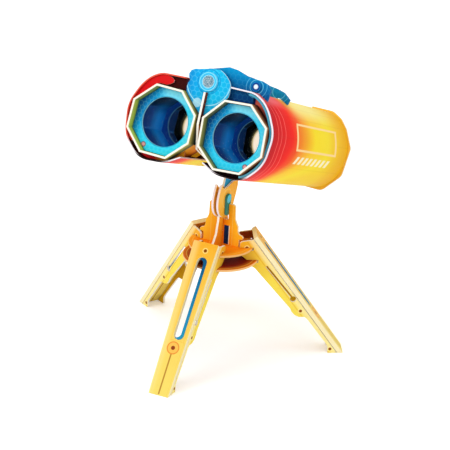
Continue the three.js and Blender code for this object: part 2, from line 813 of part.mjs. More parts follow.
const armHole = circle(rodHole, 0, 0, 24);
const leftFrontArm = SHIELD_FRONT + ARM_PITCH;
const frontArm = leftFrontArm + ARM_PITCH;
const rearArm = REAR_ARM_FRONT + ARM_PITCH;
const frontCrest = [[12.7, 13.7], [19.5, 12.6], [25, 10.6], [30.2, 8.7], [36, 8], [41.2, 7.3], [46.7, 5.3]];
const rearCrest = [[11, 10.2], [18, 8.8], [27, 6.2], [36, 4.4], [42, 2.4]];
const frontTip = [49.8, 1.2];
const rearTip = [47.6, -2.4];
const rivetPlace = [37.5, 2.3];
const tubeTop = -BARREL_DROP + (TUBE_RADIUS + 4) * OCT;

function rivet() {
  const head = across(circle(RIVET_RADIUS, rivetPlace[0], rivetPlace[1], 32), frontArm - FIT - 1.2, 1.2);
  const stem = across(circle(1.6, rivetPlace[0], rivetPlace[1], 20), frontArm - FIT - 0.6, BOARD + FIT + 0.6);
  return geometryOf(solid(head).add(solid(stem)));
}

function buildBarrel(side) {
  const name = side > 0 ? 'right' : 'left';
  const barrel = new THREE.Group();
  barrel.position.set(0, 0, HINGE_HEIGHT);
  barrel.rotation.y = -side * rad(FOLD);
  bridge.add(barrel);
  const body = new THREE.Group();
  body.position.set(side * BARREL_OFFSET, 0, -BARREL_DROP);
  barrel.add(body);

  let cover = shell(side);
  if (side > 0) {
    for (const y of [frontArm, rearArm]) {
      const z = shellTop(slitOuter, y) + BARREL_DROP;
      cover = cut(cover, box(SHELL_SECTION[0][0] - 4, slitOuter - BARREL_OFFSET + FIT,
        y - FIT, y + BOARD + FIT, z - 4, z + 6));
    }
  }
  add(body, `shell_${name}`, cover, 'shell');
  add(body, `hood_${name}`, octTube(HOOD_RADIUS, HOOD_WALL, 0, HOOD_LENGTH), 'lime');
  add(body, `face_ring_${name}`,
    across(octagon(hoodInside), RING_RECESS, BOARD, [circle(RING_HOLE_RADIUS)]), 'cyan');
  add(body, `objective_lens_${name}`, across(circle(lensRadius), lensFront, LENS_THICKNESS), 'clear');
  add(body, `inner_tube_${name}`, octTube(TUBE_RADIUS, CARD, tubeFront, tubeRear - tubeFront), 'navy');
  add(body, `baffle_${name}`,
    across(octagon(tubeInside), BAFFLE_AT, BOARD, [circle(BAFFLE_HOLE_RADIUS)]), 'navy');
  add(body, `lens_holder_${name}`,
    across(octagon(tubeInside), HOLDER_AT, BOARD, [circle(FIELD_LENS_RADIUS + FIT)]), 'lime');
  add(body, `field_lens_${name}`, across(circle(FIELD_LENS_RADIUS), HOLDER_AT, LENS_THICKNESS), 'cream');
  add(body, `former_front_${name}`,
    former(side, FORMER_FRONT, CARD + FIT, octagon(HOOD_RADIUS + FIT / OCT)), 'red');
  add(body, `former_mid_${name}`, former(side, MID_FORMER_FRONT, CARD + FIT, tubeHole), 'orange');
  add(body, `end_plate_${name}`, former(side, endPlateFront, -END_PLATE_RIM, eyepieceHole), 'lime');
  add(body, `eyepiece_tube_${name}`,
    octTube(tubeInside, CARD, eyepieceRear - EYEPIECE_LENGTH, EYEPIECE_LENGTH), 'navy');
  add(body, `eyecup_${name}`, across(octagon(EYECUP_RADIUS), eyecupFront, EYECUP_LENGTH, [eyepieceHole]), 'dark');
  add(body, `eyepiece_lens_${name}`,
    across(circle(eyepieceInside), eyepieceRear - LENS_THICKNESS - 2.5, LENS_THICKNESS), 'clear');

  if (side > 0) {
    const hole = circle(1.6 + FIT, rivetPlace[0], rivetPlace[1], 20);
    add(barrel, 'hinge_arm_right_front',
      across(overArm(frontArm, frontCrest, frontTip, hoodTop), frontArm, BOARD, [armHole, hole]), 'blue');
    add(barrel, 'hinge_arm_right_rear',
      across(overArm(rearArm, rearCrest, rearTip, tubeTop), rearArm, BOARD, [armHole]), 'blue');
    add(barrel, 'hinge_arm_rivet', rivet(), 'cream');
  } else {
    add(barrel, 'hinge_arm_left_front',
      across(mirrored(underArm(leftFrontArm, hoodTop)), leftFrontArm, BOARD, [armHole]), 'blue');
    add(barrel, 'hinge_arm_left_rear',
      across(mirrored(underArm(REAR_ARM_FRONT, tubeTop)), REAR_ARM_FRONT, BOARD, [armHole]), 'blue');
  }
}
buildBarrel(1);
buildBarrel(-1);

// The origin lies under the middle of the whole object, on the ground
root.updateMatrixWorld(true);
const extent = new THREE.Box3().setFromObject(root, true);
root.position.set(-(extent.min.x + extent.max.x) / 2, -(extent.min.y + extent.max.y) / 2, -extent.min.z);
root.updateMatrixWorld(true);

export default root;
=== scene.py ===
import math

import bmesh
import bpy
from mathutils import Matrix, Vector


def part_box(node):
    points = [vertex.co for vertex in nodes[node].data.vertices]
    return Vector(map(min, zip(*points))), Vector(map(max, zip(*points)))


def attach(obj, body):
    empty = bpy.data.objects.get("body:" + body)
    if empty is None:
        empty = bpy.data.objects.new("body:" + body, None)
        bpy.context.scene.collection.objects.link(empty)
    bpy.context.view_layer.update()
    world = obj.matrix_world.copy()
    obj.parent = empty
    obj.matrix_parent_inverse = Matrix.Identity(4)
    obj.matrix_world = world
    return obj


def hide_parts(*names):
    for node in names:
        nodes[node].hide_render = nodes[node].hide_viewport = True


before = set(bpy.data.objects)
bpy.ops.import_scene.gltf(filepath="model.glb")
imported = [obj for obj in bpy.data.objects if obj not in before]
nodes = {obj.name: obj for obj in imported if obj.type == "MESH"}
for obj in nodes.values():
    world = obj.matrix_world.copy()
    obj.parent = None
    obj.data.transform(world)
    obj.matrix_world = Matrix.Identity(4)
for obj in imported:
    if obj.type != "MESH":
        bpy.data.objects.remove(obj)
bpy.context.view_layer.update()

# Sizes are in millimetres, as in the part, and become metres through MM.
MM = 0.001
SIDE = {"right": 1.0, "left": -1.0}

# Where the tripod, the bridge and the barrels stand
TRIPOD_BACK = -9.4545
PITCH = math.radians(23)
FOLD = math.radians(2.5)
PIVOT_HEIGHT, PIVOT_BACK, PIVOT_DROP = 130.5, 81.2, 48.9
HINGE_HEIGHT, BARREL_OFFSET, BARREL_DROP = 37.5, 28.7, 38.7
LEG_TOP_RADIUS, LEG_TOP_HEIGHT = 27.6, 102.0
LEG_OUT, LEG_DOWN = 0.5878, 0.8091

# Leg boards: their slot, hub and pins, as across and down the leg, and the cheeks' pins, as down and inward
LEG_LENGTH, LEG_HALF_WIDTH, LEG_NARROWING = 126.0, 10.7, 0.01745
SLOT_ACROSS, SLOT_DOWN, SLOT_HALF_WIDTH, SLOT_HALF_LENGTH = 1.4, 46.0, 4.3, 34.0
LEG_HUB, LEG_PIN = (0, 87.1), (SLOT_ACROSS, 6.6)
CHEEK_PINS = ((74.7, 7.6), (3.4, 12.3), (117.0, 6.6))
DISC_UPPER_RADIUS, DISC_LOWER_RADIUS = 26, 30

# The post's dark window, the arms' rivet, the face rings' small mark, the honeycombs and the plain fades
WINDOW_LEFT, WINDOW_RIGHT, WINDOW_LOW, WINDOW_HIGH = 2.3, 6.4, 92.0, 108.0
RIVET = (37.5, 2.3)
RING_MARK = {"right": (11.5, -20.6), "left": (-13.0, -20.8)}
LARGE_CELL, SMALL_CELL = 4.2, 3.6
PLAIN_BOTTOM, PLAIN_TOP = -30, 30

# Shells: outline at the front, place along the barrel, taper and board thickness; the print's length round
# the outline, and the millimetres in one unit of its UV
SHELL_FRONT, SHELL_BACK = 3.5, 172.5
SHELL_SECTION = [(-9.4, 37.7), (10.9, 36.5), (19.5, 31.2), (25.6, 23.3), (32.6, 7.2),
                 (28.6, -17.4), (12.7, -32.5), (-10.3, -30.6), (-22.3, -23.4)]
SHELL_TAPER, SHELL_RISE, SHELL_BOARD = 0.1, 1.2, 1.2
SHELL_STATIONS = [SHELL_FRONT, 6, 10, 16, 24, 34, 46, 60, 76, 94, 112, 130, 148, 162, SHELL_BACK]
WRAP_LENGTH, WRAP_UNIT = 145.0, 100.0

# The framed panel and the hatch bars on the right shell, as length round the outline and place along it
PANEL_TOP, PANEL_BOTTOM, PANEL_FRONT, PANEL_BACK, PANEL_BOW = 44.0, 66.8, 59.5, 149.0, 3.0
FRAME_HEIGHT, FRAME_WIDTH = 1.8, 3.5
BARS_TOP, BARS_BOTTOM, BARS_FRONT, BARS_BACK = 71.2, 77.6, 60.0, 136.5
BAR_PITCH, BAR_START, BAR_END, BAR_LEAN = 9.6, 1.0, 6.2, 0.95

# The lip inside the right shell and the crescent in the left barrel's front
LIP_START, LIP_END, LIP_INSET, LIP_BOARD = 13, 106, 1.5, 1.7
LIP_STATIONS = [3.9, 4.6, 5.4]
HOOD_RADIUS = 29.9
CRESCENT_START, CRESCENT_END, CRESCENT_POINT, CRESCENT_INSET = 8, 90, 9, 1.3
CRESCENT_ALONG, CRESCENT_BOARD, CRESCENT_LEAST, CRESCENT_SHIFT = 5.9, 1.0, 0.3, 0.55

# Lenses: radius, where the middle of each face lies along the barrel, and how far its rim lies behind it
OBJECTIVE_RADIUS, OBJECTIVE_FRONT, OBJECTIVE_BACK = 21.7, 10.1, 11.6
FIELD_RADIUS, FIELD_FRONT, FIELD_BACK = 15.0, 75.0, 76.5
EYEPIECE_FRONT, EYEPIECE_BACK = 176.9, 178.4
LENS_BULGE, LENS_RINGS, LENS_TURNS, LENS_ANGLE = 0.5, 10, 64, 40

# Boards: how far a cut corner is eased and from which angle on, the paper's bumps, and the bare board inside
EDGE_EASE, TUBE_EASE, SHEET_EASE = 0.22, 0.1, 0.2
BOARD_ANGLE, SHEET_ANGLE, CRESCENT_ANGLE = 35, 45, 30
JOIN_REACH, BUMP_DEPTH = 0.02, 0.2
BOARD_CORE = (0.97, 0.95, 0.90)


# Places on the object
class Place:
    """A local frame of the object: an origin and three directions, right, along and up."""

    def __init__(self, origin, right, along, up):
        self.origin, self.right, self.along, self.up = (Vector(v) for v in (origin, right, along, up))

    def at(self, right, along, up):
        return (self.origin + self.right * right + self.along * along + self.up * up) * MM


X_AXIS = Vector((1, 0, 0))
BRIDGE_ALONG = Vector((0, math.cos(PITCH), -math.sin(PITCH)))
BRIDGE_UP = Vector((0, math.sin(PITCH), math.cos(PITCH)))
TRIPOD = Place((0, TRIPOD_BACK, 0), X_AXIS, (0, 1, 0), (0, 0, 1))
PIVOT = Vector((0, TRIPOD_BACK, PIVOT_HEIGHT))
BRIDGE = Place(PIVOT - BRIDGE_ALONG * PIVOT_BACK + BRIDGE_UP * PIVOT_DROP, X_AXIS, BRIDGE_ALONG, BRIDGE_UP)
TILT = Place(PIVOT, X_AXIS, BRIDGE_ALONG, BRIDGE_UP)
HINGE = Place(BRIDGE.origin + BRIDGE_UP * HINGE_HEIGHT, X_AXIS, BRIDGE_ALONG, BRIDGE_UP)


def barrel_place(hand):
    """The barrel's own axis; right stays to the viewer's right for both barrels."""
    turn = -hand * FOLD
    right = X_AXIS * math.cos(turn) - BRIDGE_UP * math.sin(turn)
    up = X_AXIS * math.sin(turn) + BRIDGE_UP * math.cos(turn)
    return Place(HINGE.origin + right * (hand * BARREL_OFFSET) - up * BARREL_DROP, right, BRIDGE_ALONG, up)


def leg_place(turn):
    """Right runs across the leg, along runs down it, up runs in towards the tripod's middle."""
    a = math.radians(turn)
    outward = Vector((math.sin(a), -math.cos(a), 0))
    across = Vector((math.cos(a), math.sin(a), 0))
    down = Vector((0, 0, -1))
    origin = TRIPOD.origin + outward * LEG_TOP_RADIUS - down * LEG_TOP_HEIGHT
    return Place(origin, across, outward * LEG_OUT + down * LEG_DOWN, down * LEG_OUT - outward * LEG_DOWN)


BARREL = {side: barrel_place(hand) for side, hand in SIDE.items()}
ARMS = {side: Place(HINGE.origin, place.right, place.along, place.up) for side, place in BARREL.items()}
LEG = {"front": leg_place(0), "right": leg_place(120), "left": leg_place(240)}


# Painting helpers
def ink(red, green, blue):
    """A colour as it looks on screen, in the linear values that a shader takes."""
    return tuple(c / 12.92 if c <= 0.04045 else ((c + 0.055) / 1.055) ** 2.4 for c in (red, green, blue))


class Paint:
    """Short words for the nodes of one material or one shared effect."""

    def __init__(self, tree):
        self.tree = tree

    def add(self, kind, **settings):
        made = self.tree.nodes.new(kind)
        for key, value in settings.items():
            setattr(made, key, value)
        return made

    def feed(self, socket, value):
        if isinstance(value, bpy.types.NodeSocket):
            self.tree.links.new(value, socket)
        elif socket.type == "RGBA":
            socket.default_value = (*ink(*value), 1)
        else:
            socket.default_value = value

    def fill(self, node, **inputs):
        """Feeds a node's inputs by name, with an underscore for each space."""
        for key, value in inputs.items():
            self.feed(node.inputs[key.replace("_", " ")], value)
        return node.outputs

    def math(self, operation, *values, clamp=False):
        made = self.add("ShaderNodeMath", operation=operation, use_clamp=clamp)
        for socket, value in zip(made.inputs, values):
            self.feed(socket, value)
        return made.outputs[0]

    def plus(self, first, second, clamp=False):
        return self.math("ADD", first, second, clamp=clamp)

    def minus(self, first, second, clamp=False):
        return self.math("SUBTRACT", first, second, clamp=clamp)

    def times(self, first, second):
        return self.math("MULTIPLY", first, second)

    def vector(self, operation, *values):
        made = self.add("ShaderNodeVectorMath", operation=operation)
        for socket, value in zip(made.inputs, values):
            self.feed(socket, value)
        return made.outputs["Value" if operation == "DOT_PRODUCT" else "Vector"]

    def mix(self, mask, first, second, strength=None):
        """The second colour over the first where the mask is, as strongly as strength says."""
        share = mask if strength is None else self.times(mask, strength)
        made = self.add("ShaderNodeMix", data_type="RGBA")
        for socket, value in zip((made.inputs[0], made.inputs[6], made.inputs[7]), (share, first, second)):
            self.feed(socket, value)
        return made.outputs[2]

    def layers(self, colour, *layers):
        """Colours laid over the first one in turn, each as (mask, colour) or (mask, colour, strength)."""
        for mask, *over in layers:
            colour = self.mix(mask, colour, *over)
        return colour

    def span(self, value, low, high, top=1.0):
        """0 at low, top at high, smooth in between."""
        made = self.add("ShaderNodeMapRange", interpolation_type="SMOOTHSTEP")
        return self.fill(made, Value=value, From_Min=low, From_Max=high, To_Max=top)[0]

    def fade(self, value, *stops):
        """A colour that runs through stops of (place, colour)."""
        low, high = stops[0][0], stops[-1][0]
        made = self.add("ShaderNodeValToRGB")
        ramp = made.color_ramp
        while len(ramp.elements) < len(stops):
            ramp.elements.new(0.5)
        for element, (place, colour) in zip(ramp.elements, stops):
            element.position = (place - low) / (high - low)
            element.color = (*ink(*colour), 1)
        share = self.fill(self.add("ShaderNodeMapRange"), Value=value, From_Min=low, From_Max=high)[0]
        self.feed(made.inputs[0], share)
        return made.outputs[0]

    def noise(self, where, scale, detail=3.0, roughness=0.55):
        made = self.add("ShaderNodeTexNoise")
        return self.fill(made, Vector=where, Scale=scale, Detail=detail, Roughness=roughness)[0]

    def effect(self, name, **inputs):
        """One of the shared effects below, with its inputs by name; gives its outputs."""
        return self.fill(self.add("ShaderNodeGroup", node_tree=EFFECTS[name]), **inputs)

    def band(self, value, low, high, soft=0.15):
        return self.effect("printed_band", Value=value, Low=low, High=high, Soft=soft)["Mask"]

    def spot(self, across, along, centre, radius, soft=0.15):
        return self.effect("printed_spot", Across=across, Along=along, Centre_Across=centre[0],
                           Centre_Along=centre[1], Radius=radius, Soft=soft)["Mask"]

    def distance(self, across, along, centre=(0.0, 0.0)):
        return self.effect("printed_spot", Across=across, Along=along, Centre_Across=centre[0],
                           Centre_Along=centre[1])["Distance"]

    def ring(self, across, along, centre, radius, width, soft=0.15):
        distance = self.distance(across, along, centre)
        return self.band(distance, radius - width / 2, radius + width / 2, soft)

    def all(self, *masks):
        """Where every one of the masks is."""
        made = masks[0]
        for mask in masks[1:]:
            made = self.times(made, mask)
        return made

    def where(self):
        """The point's place on the object at rest, in metres."""
        return self.add("ShaderNodeTexCoord").outputs["Object"]

    def place(self, where):
        """How far the point is right, along and up from a local frame's origin, in millimetres."""
        out = self.effect("piece_axes", Origin=where.origin * MM, Right=where.right, Along=where.along,
                          Up=where.up)
        return out["Right"], out["Along"], out["Up"]

    def facing(self, axis):
        """How squarely the surface faces along an axis, and to which side."""
        return self.effect("piece_facing", Axis=axis)


EFFECTS = {}


def shared_effect(name, inputs, outputs):
    """Starts a shader node group from its inputs, by name with their defaults, and its outputs' names.

    A Vector is a place or a direction, a plain triple is a colour and a number is a value.
    """
    tree = bpy.data.node_groups.new(name, "ShaderNodeTree")
    sockets = {Vector: "NodeSocketVector", tuple: "NodeSocketColor", float: "NodeSocketFloat"}
    for label, default in inputs.items():
        socket = tree.interface.new_socket(label, in_out="INPUT", socket_type=sockets[type(default)])
        socket.default_value = (*ink(*default), 1) if isinstance(default, tuple) else default
    for label in outputs:
        kind = tuple if label == "Color" else float
        tree.interface.new_socket(label, in_out="OUTPUT", socket_type=sockets[kind])
    EFFECTS[name] = tree
    paint = Paint(tree)
    return paint, paint.add("NodeGroupInput").outputs, paint.add("NodeGroupOutput").inputs


def make_piece_axes():
    """How far the point is from an origin along three directions, in millimetres."""
    axes = {"Right": Vector((1, 0, 0)), "Along": Vector((0, 1, 0)), "Up": Vector((0, 0, 1))}
    p, given, out = shared_effect("piece_axes", {"Origin": Vector((0, 0, 0)), **axes}, axes)
    where = p.vector("SUBTRACT", p.where(), given["Origin"])
    for name in axes:
        p.feed(out[name], p.times(p.vector("DOT_PRODUCT", where, given[name]), 1 / MM))


def make_piece_facing():
    """How squarely the surface faces along an axis, and to which side."""
    p, given, out = shared_effect("piece_facing", {"Axis": Vector((0, 0, 1))}, ("Facing", "Side"))
    side = p.vector("DOT_PRODUCT", p.add("ShaderNodeTexCoord").outputs["Normal"], given["Axis"])
    p.feed(out["Side"], side)
    p.feed(out["Facing"], p.math("ABSOLUTE", side))


def make_printed_band():
    """A stretch between two values, with soft ends."""
    inputs = {"Value": 0.0, "Low": 0.0, "High": 1.0, "Soft": 0.15}
    p, given, out = shared_effect("printed_band", inputs, ("Mask",))
    low, high, soft = given["Low"], given["High"], given["Soft"]
    rise = p.span(given["Value"], p.minus(low, soft), p.plus(low, soft))
    fall = p.span(given["Value"], p.plus(high, soft), p.minus(high, soft))
    p.feed(out["Mask"], p.times(rise, fall))


def make_printed_spot():
    """A round spot with a soft edge, and the distance from its centre."""
    places = {"Across": 0.0, "Along": 0.0, "Centre Across": 0.0, "Centre Along": 0.0}
    inputs = {**places, "Radius": 1.0, "Soft": 0.15}
    p, given, out = shared_effect("printed_spot", inputs, ("Mask", "Distance"))
    dx = p.minus(given["Across"], given["Centre Across"])
    dy = p.minus(given["Along"], given["Centre Along"])
    distance = p.math("SQRT", p.plus(p.times(dx, dx), p.times(dy, dy)))
    p.feed(out["Distance"], distance)
    outside = p.plus(given["Radius"], given["Soft"])
    inside = p.minus(given["Radius"], given["Soft"])
    p.feed(out["Mask"], p.span(distance, outside, inside))


def make_hex_print():
    """Honeycomb lines, and the middles of its cells."""
    inputs = {"Across": 0.0, "Along": 0.0, "Size": 4.0}
    p, given, out = shared_effect("hex_print", inputs, ("Line", "Middle"))
    x = p.math("DIVIDE", given["Across"], given["Size"])
    y = p.math("DIVIDE", given["Along"], given["Size"])
    # A cell is one step wide, and the rows of cells repeat at root three times that.
    step, rows = 1.0, 1.732

    def from_middle(value, shift, period):
        cell = p.math("FLOORED_MODULO", p.plus(value, shift), period)
        return p.math("ABSOLUTE", p.minus(cell, period / 2))

    reach = []
    for shift in (0.0, 0.5):
        beside = from_middle(x, shift * step, step)
        above = from_middle(y, shift * rows, rows)
        slant = p.plus(p.times(beside, step / 2), p.times(above, rows / 2))
        reach.append(p.math("MAXIMUM", beside, slant))
    nearest = p.math("MINIMUM", *reach)
    p.feed(out["Line"], p.span(nearest, 0.40, 0.48))
    p.feed(out["Middle"], p.span(nearest, 0.42, 0.05))


def make_card_grain():
    """Printed card: mottled ink, paper fibres, uneven gloss."""
    inputs = {"Color": (0.8, 0.8, 0.8), "Tone": 0.06, "Gloss": 0.42}
    p, given, out = shared_effect("card_grain", inputs, ("Color", "Roughness", "Height"))
    where = p.where()
    fine = p.noise(where, 2600.0, 4.0, 0.6)
    cloud = p.noise(where, 75.0, 3.0)
    fibres = p.noise(p.vector("MULTIPLY", where, (4300.0, 4300.0, 1500.0)), 1.0, 3.0)
    blotches = p.times(p.minus(cloud, 0.5), 1.2)
    dots = p.times(p.minus(fine, 0.5), 0.7)
    strength = p.plus(1.0, p.times(p.plus(blotches, dots), given["Tone"]))
    toned = p.vector("SCALE", given["Color"])
    p.feed(toned.node.inputs["Scale"], strength)
    flecks = p.times(p.span(fibres, 0.60, 0.74), 0.045)
    p.feed(out["Color"], p.mix(flecks, toned, (0.97, 0.95, 0.92)))
    uneven = p.times(p.minus(fibres, 0.45), 0.35)
    p.feed(out["Roughness"], p.plus(given["Gloss"], uneven, clamp=True))
    p.feed(out["Height"], p.plus(p.times(fibres, 0.65), p.times(fine, 0.35)))


def make_cut_edge():
    """Pale board core where the card is cut, with its layers, and ink worn off the corner."""
    inputs = {"Print": (0.8, 0.8, 0.8), "Core": BOARD_CORE, "Facing": 1.0, "Depth": 0.0}
    p, given, out = shared_effect("cut_edge", inputs, ("Color",))
    where = p.where()
    wear = p.noise(where, 420.0, 3.0)
    rough = p.noise(where, 1900.0, 2.0)
    stray = p.times(rough, 5.0)
    layers = p.math("SINE", p.plus(p.times(given["Depth"], 13.0), stray))
    layered = p.mix(p.span(layers, 0.2, 1.0, 0.11), given["Core"], (0.78, 0.72, 0.70))
    limit = p.plus(0.80, p.times(p.minus(wear, 0.5), 0.16))
    cut = p.span(given["Facing"], p.plus(limit, 0.06), p.minus(limit, 0.06))
    p.feed(out["Color"], p.mix(cut, given["Print"], layered))


make_piece_axes()
make_piece_facing()
make_printed_band()
make_printed_spot()
make_hex_print()
make_card_grain()
make_cut_edge()


def finish_card(p, colour, tone=0.06, gloss=0.46, coat=0.0, bump=0.22, sheen=0.06, glow=None):
    """Grain, gloss and bump over a printed colour, on to the material's own shader, with an optional glow of
    the colour as painted light.
    """
    grain = p.effect("card_grain", Color=colour, Tone=tone, Gloss=gloss)
    shader = p.add("ShaderNodeBsdfPrincipled")
    relief = p.add("ShaderNodeBump")
    relief.inputs["Strength"].default_value = bump
    relief.inputs["Distance"].default_value = BUMP_DEPTH * MM
    p.feed(relief.inputs["Height"], grain["Height"])
    p.feed(shader.inputs["Base Color"], grain["Color"])
    p.feed(shader.inputs["Roughness"], grain["Roughness"])
    p.feed(shader.inputs["Normal"], relief.outputs["Normal"])
    shader.inputs["Specular IOR Level"].default_value = sheen
    shader.inputs["Coat Weight"].default_value = coat
    shader.inputs["Coat Roughness"].default_value = 0.3
    if glow:
        p.feed(shader.inputs["Emission Color"], grain["Color"])
        shader.inputs["Emission Strength"].default_value = glow
    p.feed(p.add("ShaderNodeOutputMaterial").inputs["Surface"], shader.outputs["BSDF"])


def new_paint(name):
    material = bpy.data.materials.new(name)
    material.use_nodes = True
    material.node_tree.nodes.clear()
    return material, Paint(material.node_tree)


def plate_card(name, where, axis, design, core=BOARD_CORE, **look):
    """A flat board with its design on both faces and the bare core on its cut edges.

    The design gets the local place and which face it is.
    """
    material, p = new_paint(name)
    right, along, up = p.place(where)
    normal = {"right": where.right, "along": where.along, "up": where.up}[axis]
    face = p.facing(normal)
    depth = {"right": right, "along": along, "up": up}[axis]
    colour = design(p, right, along, up, face["Side"])
    board = p.effect("cut_edge", Print=colour, Core=core, Facing=face["Facing"], Depth=depth)
    finish_card(p, board["Color"], **look)
    return material


def tube_card(name, where, design, core=BOARD_CORE, **look):
    """A folded tube along its own axis, with the bare core on its ends.

    The design gets the local place, whether the wall faces outwards, and which way it faces.
    """
    material, p = new_paint(name)
    right, along, up = p.place(where)
    end = p.facing(where.along)["Facing"]
    wall_right = p.facing(where.right)["Side"]
    wall_up = p.facing(where.up)["Side"]
    outward = p.plus(p.times(right, wall_right), p.times(up, wall_up))
    colour = design(p, right, along, up, p.span(outward, -2.0, 2.0), wall_right, wall_up)
    wall = p.minus(1.0, end)
    board = p.effect("cut_edge", Print=colour, Core=core, Facing=wall, Depth=along)
    finish_card(p, board["Color"], **look)
    return material


# The printed designs
def leg_face_design(p, across, down, inward, side):
    width = p.minus(LEG_HALF_WIDTH, p.times(down, LEG_NARROWING))
    rim = p.minus(p.math("ABSOLUTE", across), width)
    beside = p.minus(p.math("ABSOLUTE", p.minus(across, SLOT_ACROSS)), SLOT_HALF_WIDTH)
    beyond = p.minus(p.math("ABSOLUTE", p.minus(down, SLOT_DOWN)), SLOT_HALF_LENGTH)
    line = p.all(p.band(across, -0.6, 0.6), p.band(down, 92, 125))
    return p.layers(
        p.fade(down, (0, (0.95, 0.70, 0.18)), (22, (0.96, 0.76, 0.26)), (76, (0.94, 0.81, 0.37)),
               (LEG_LENGTH, (0.93, 0.84, 0.41))),
        (p.span(across, -3, -9, 0.35), (1.0, 0.95, 0.70)),
        (p.band(rim, -2.0, -1.5), (0.90, 0.66, 0.20), 0.25),
        (p.band(p.math("MAXIMUM", beside, beyond), 0.9, 1.4), (0.93, 0.62, 0.14), 0.3),
        (line, (0.66, 0.42, 0.14), 0.85),
        (p.spot(across, down, LEG_HUB, 4.6), (0.97, 0.74, 0.33)),
        (p.ring(across, down, LEG_HUB, 4.8, 0.9), (0.90, 0.55, 0.22)),
        (p.spot(across, down, LEG_HUB, 1.7, 0.3), (0.55, 0.24, 0.10)),
        (p.ring(across, down, LEG_PIN, 2.0, 0.6), (0.98, 0.88, 0.55)),
        (p.spot(across, down, LEG_PIN, 1.3, 0.25), (0.50, 0.25, 0.06)))


def leg_cheek_design(outer):
    def design(p, across, down, inward, side):
        out_face = p.span(p.times(side, outer), -0.1, 0.1)
        # The cheeks' inner faces carry painted shade: reddish brown at the top, golden lower down.
        inside = p.fade(down, (0, (0.58, 0.24, 0.06)), (16, (0.74, 0.47, 0.05)), (40, (0.84, 0.63, 0.06)),
                        (LEG_LENGTH, (0.88, 0.70, 0.12)))
        printed = p.layers(
            p.fade(down, (0, (0.95, 0.72, 0.17)), (40, (0.98, 0.88, 0.32)),
                   (LEG_LENGTH, (0.97, 0.89, 0.40))),
            (p.span(inward, 9.0, 6.0, 0.55), (1.0, 0.94, 0.72)),
            (p.band(inward, 8.9, 9.5), (0.88, 0.60, 0.12), 0.6))
        for centre in CHEEK_PINS:
            printed = p.layers(
                printed,
                (p.ring(down, inward, centre, 1.9, 0.5), (0.99, 0.92, 0.62)),
                (p.spot(down, inward, centre, 1.25, 0.25), (0.56, 0.27, 0.08)))
        return p.mix(out_face, inside, printed)
    return design


def slot_liner_design(p, across, down, inward, side):
    blue = p.fade(down, (10, (0.05, 0.32, 0.50)), (40, (0.07, 0.48, 0.66)), (82, (0.14, 0.58, 0.74)))
    return p.mix(p.span(inward, 0.2, 2.6, 0.5), blue, (0.02, 0.20, 0.42))


def disc_design(top, rim, under, radius):
    def design(p, right, back, up, side):
        distance = p.distance(right, back)
        colour = p.layers(
            p.fade(distance, (0, top), (radius - 7, top), (radius, rim)),
            (p.band(distance, radius - 3.2, radius - 2.6), (0.99, 0.80, 0.35), 0.7),
            (p.band(distance, 9.0, 9.6), (0.99, 0.74, 0.25), 0.7))
        return p.mix(p.span(side, -0.1, 0.1), under, colour)
    return design


def post_front_design(p, right, back, up, side):
    window = p.all(p.band(right, WINDOW_LEFT, WINDOW_RIGHT), p.band(up, WINDOW_LOW, WINDOW_HIGH))
    jamb = p.all(p.band(right, WINDOW_RIGHT, WINDOW_RIGHT + 0.7), p.band(up, WINDOW_LOW, WINDOW_HIGH))
    # The deeper orange in the middle of the fade is painted shade beside the spine plate.
    return p.layers(
        p.fade(right, (-14, (0.98, 0.74, 0.16)), (-4, (0.97, 0.66, 0.10)), (1, (0.94, 0.50, 0.02)),
               (5, (0.98, 0.60, 0.04)), (12, (0.99, 0.72, 0.14))),
        (window, (0.05, 0.17, 0.36)),
        (jamb, (0.97, 0.93, 0.80)),
        (p.band(p.math("ABSOLUTE", right), 9.2, 9.7), (0.99, 0.82, 0.40), 0.6))


def post_spine_design(p, right, back, up, side):
    colour = p.fade(up, (80, (0.93, 0.50, 0.04)), (118, (0.97, 0.65, 0.12)), (138, (0.98, 0.74, 0.26)))
    return p.mix(p.ring(back, up, (0, PIVOT_HEIGHT), 5.0, 0.7), colour, (0.99, 0.88, 0.55), 0.7)


def tilt_plate_design(p, right, along, up, side):
    distance = p.distance(along, up)
    # The pale yellow towards the front is a painted highlight.
    return p.layers(
        p.fade(up, (-16, (0.94, 0.68, 0.13)), (-2, (0.97, 0.72, 0.24)), (16, (0.97, 0.71, 0.22))),
        (p.span(along, 2, -14, 0.35), (0.99, 0.83, 0.45)),
        (p.band(distance, 7.2, 7.9), (0.99, 0.88, 0.58), 0.5),
        (p.band(distance, 13.2, 13.7), (0.90, 0.60, 0.12), 0.6))


def tilt_cap_design(p, right, along, up, side):
    teal = p.fade(up, (-13, (0.36, 0.58, 0.47)), (-5, (0.22, 0.55, 0.50)), (4, (0.16, 0.55, 0.57)))
    disc = p.mix(p.span(up, 3.5, -3.5, 0.5), (0.31, 0.80, 0.93), (0.45, 0.72, 0.86))
    return p.mix(p.spot(along, up, (0, 0), 3.4, 0.3), teal, disc)


def keel_design(p, right, along, up, side):
    blue = p.fade(along, (0, (0.12, 0.60, 0.84)), (30, (0.16, 0.70, 0.95)), (70, (0.12, 0.60, 0.86)))
    # The brown is painted shade on the keel's top front, between the barrels.
    painted_shade_brown = p.fade(up, (4, (0.16, 0.08, 0.10)), (14, (0.40, 0.17, 0.11)), (28, (0.50, 0.24, 0.15)))
    return p.layers(
        p.fade(up, (-22, (0.96, 0.72, 0.26)), (-12, (0.95, 0.68, 0.20)), (30, (0.93, 0.62, 0.14))),
        (p.band(up, -44, -27.5, 0.6), blue),
        (p.all(p.span(along, 14.0, 10.0), p.span(up, 2.0, 6.0)), painted_shade_brown),
        (p.band(up, -27.5, -26.7), (0.20, 0.16, 0.12), 0.8))


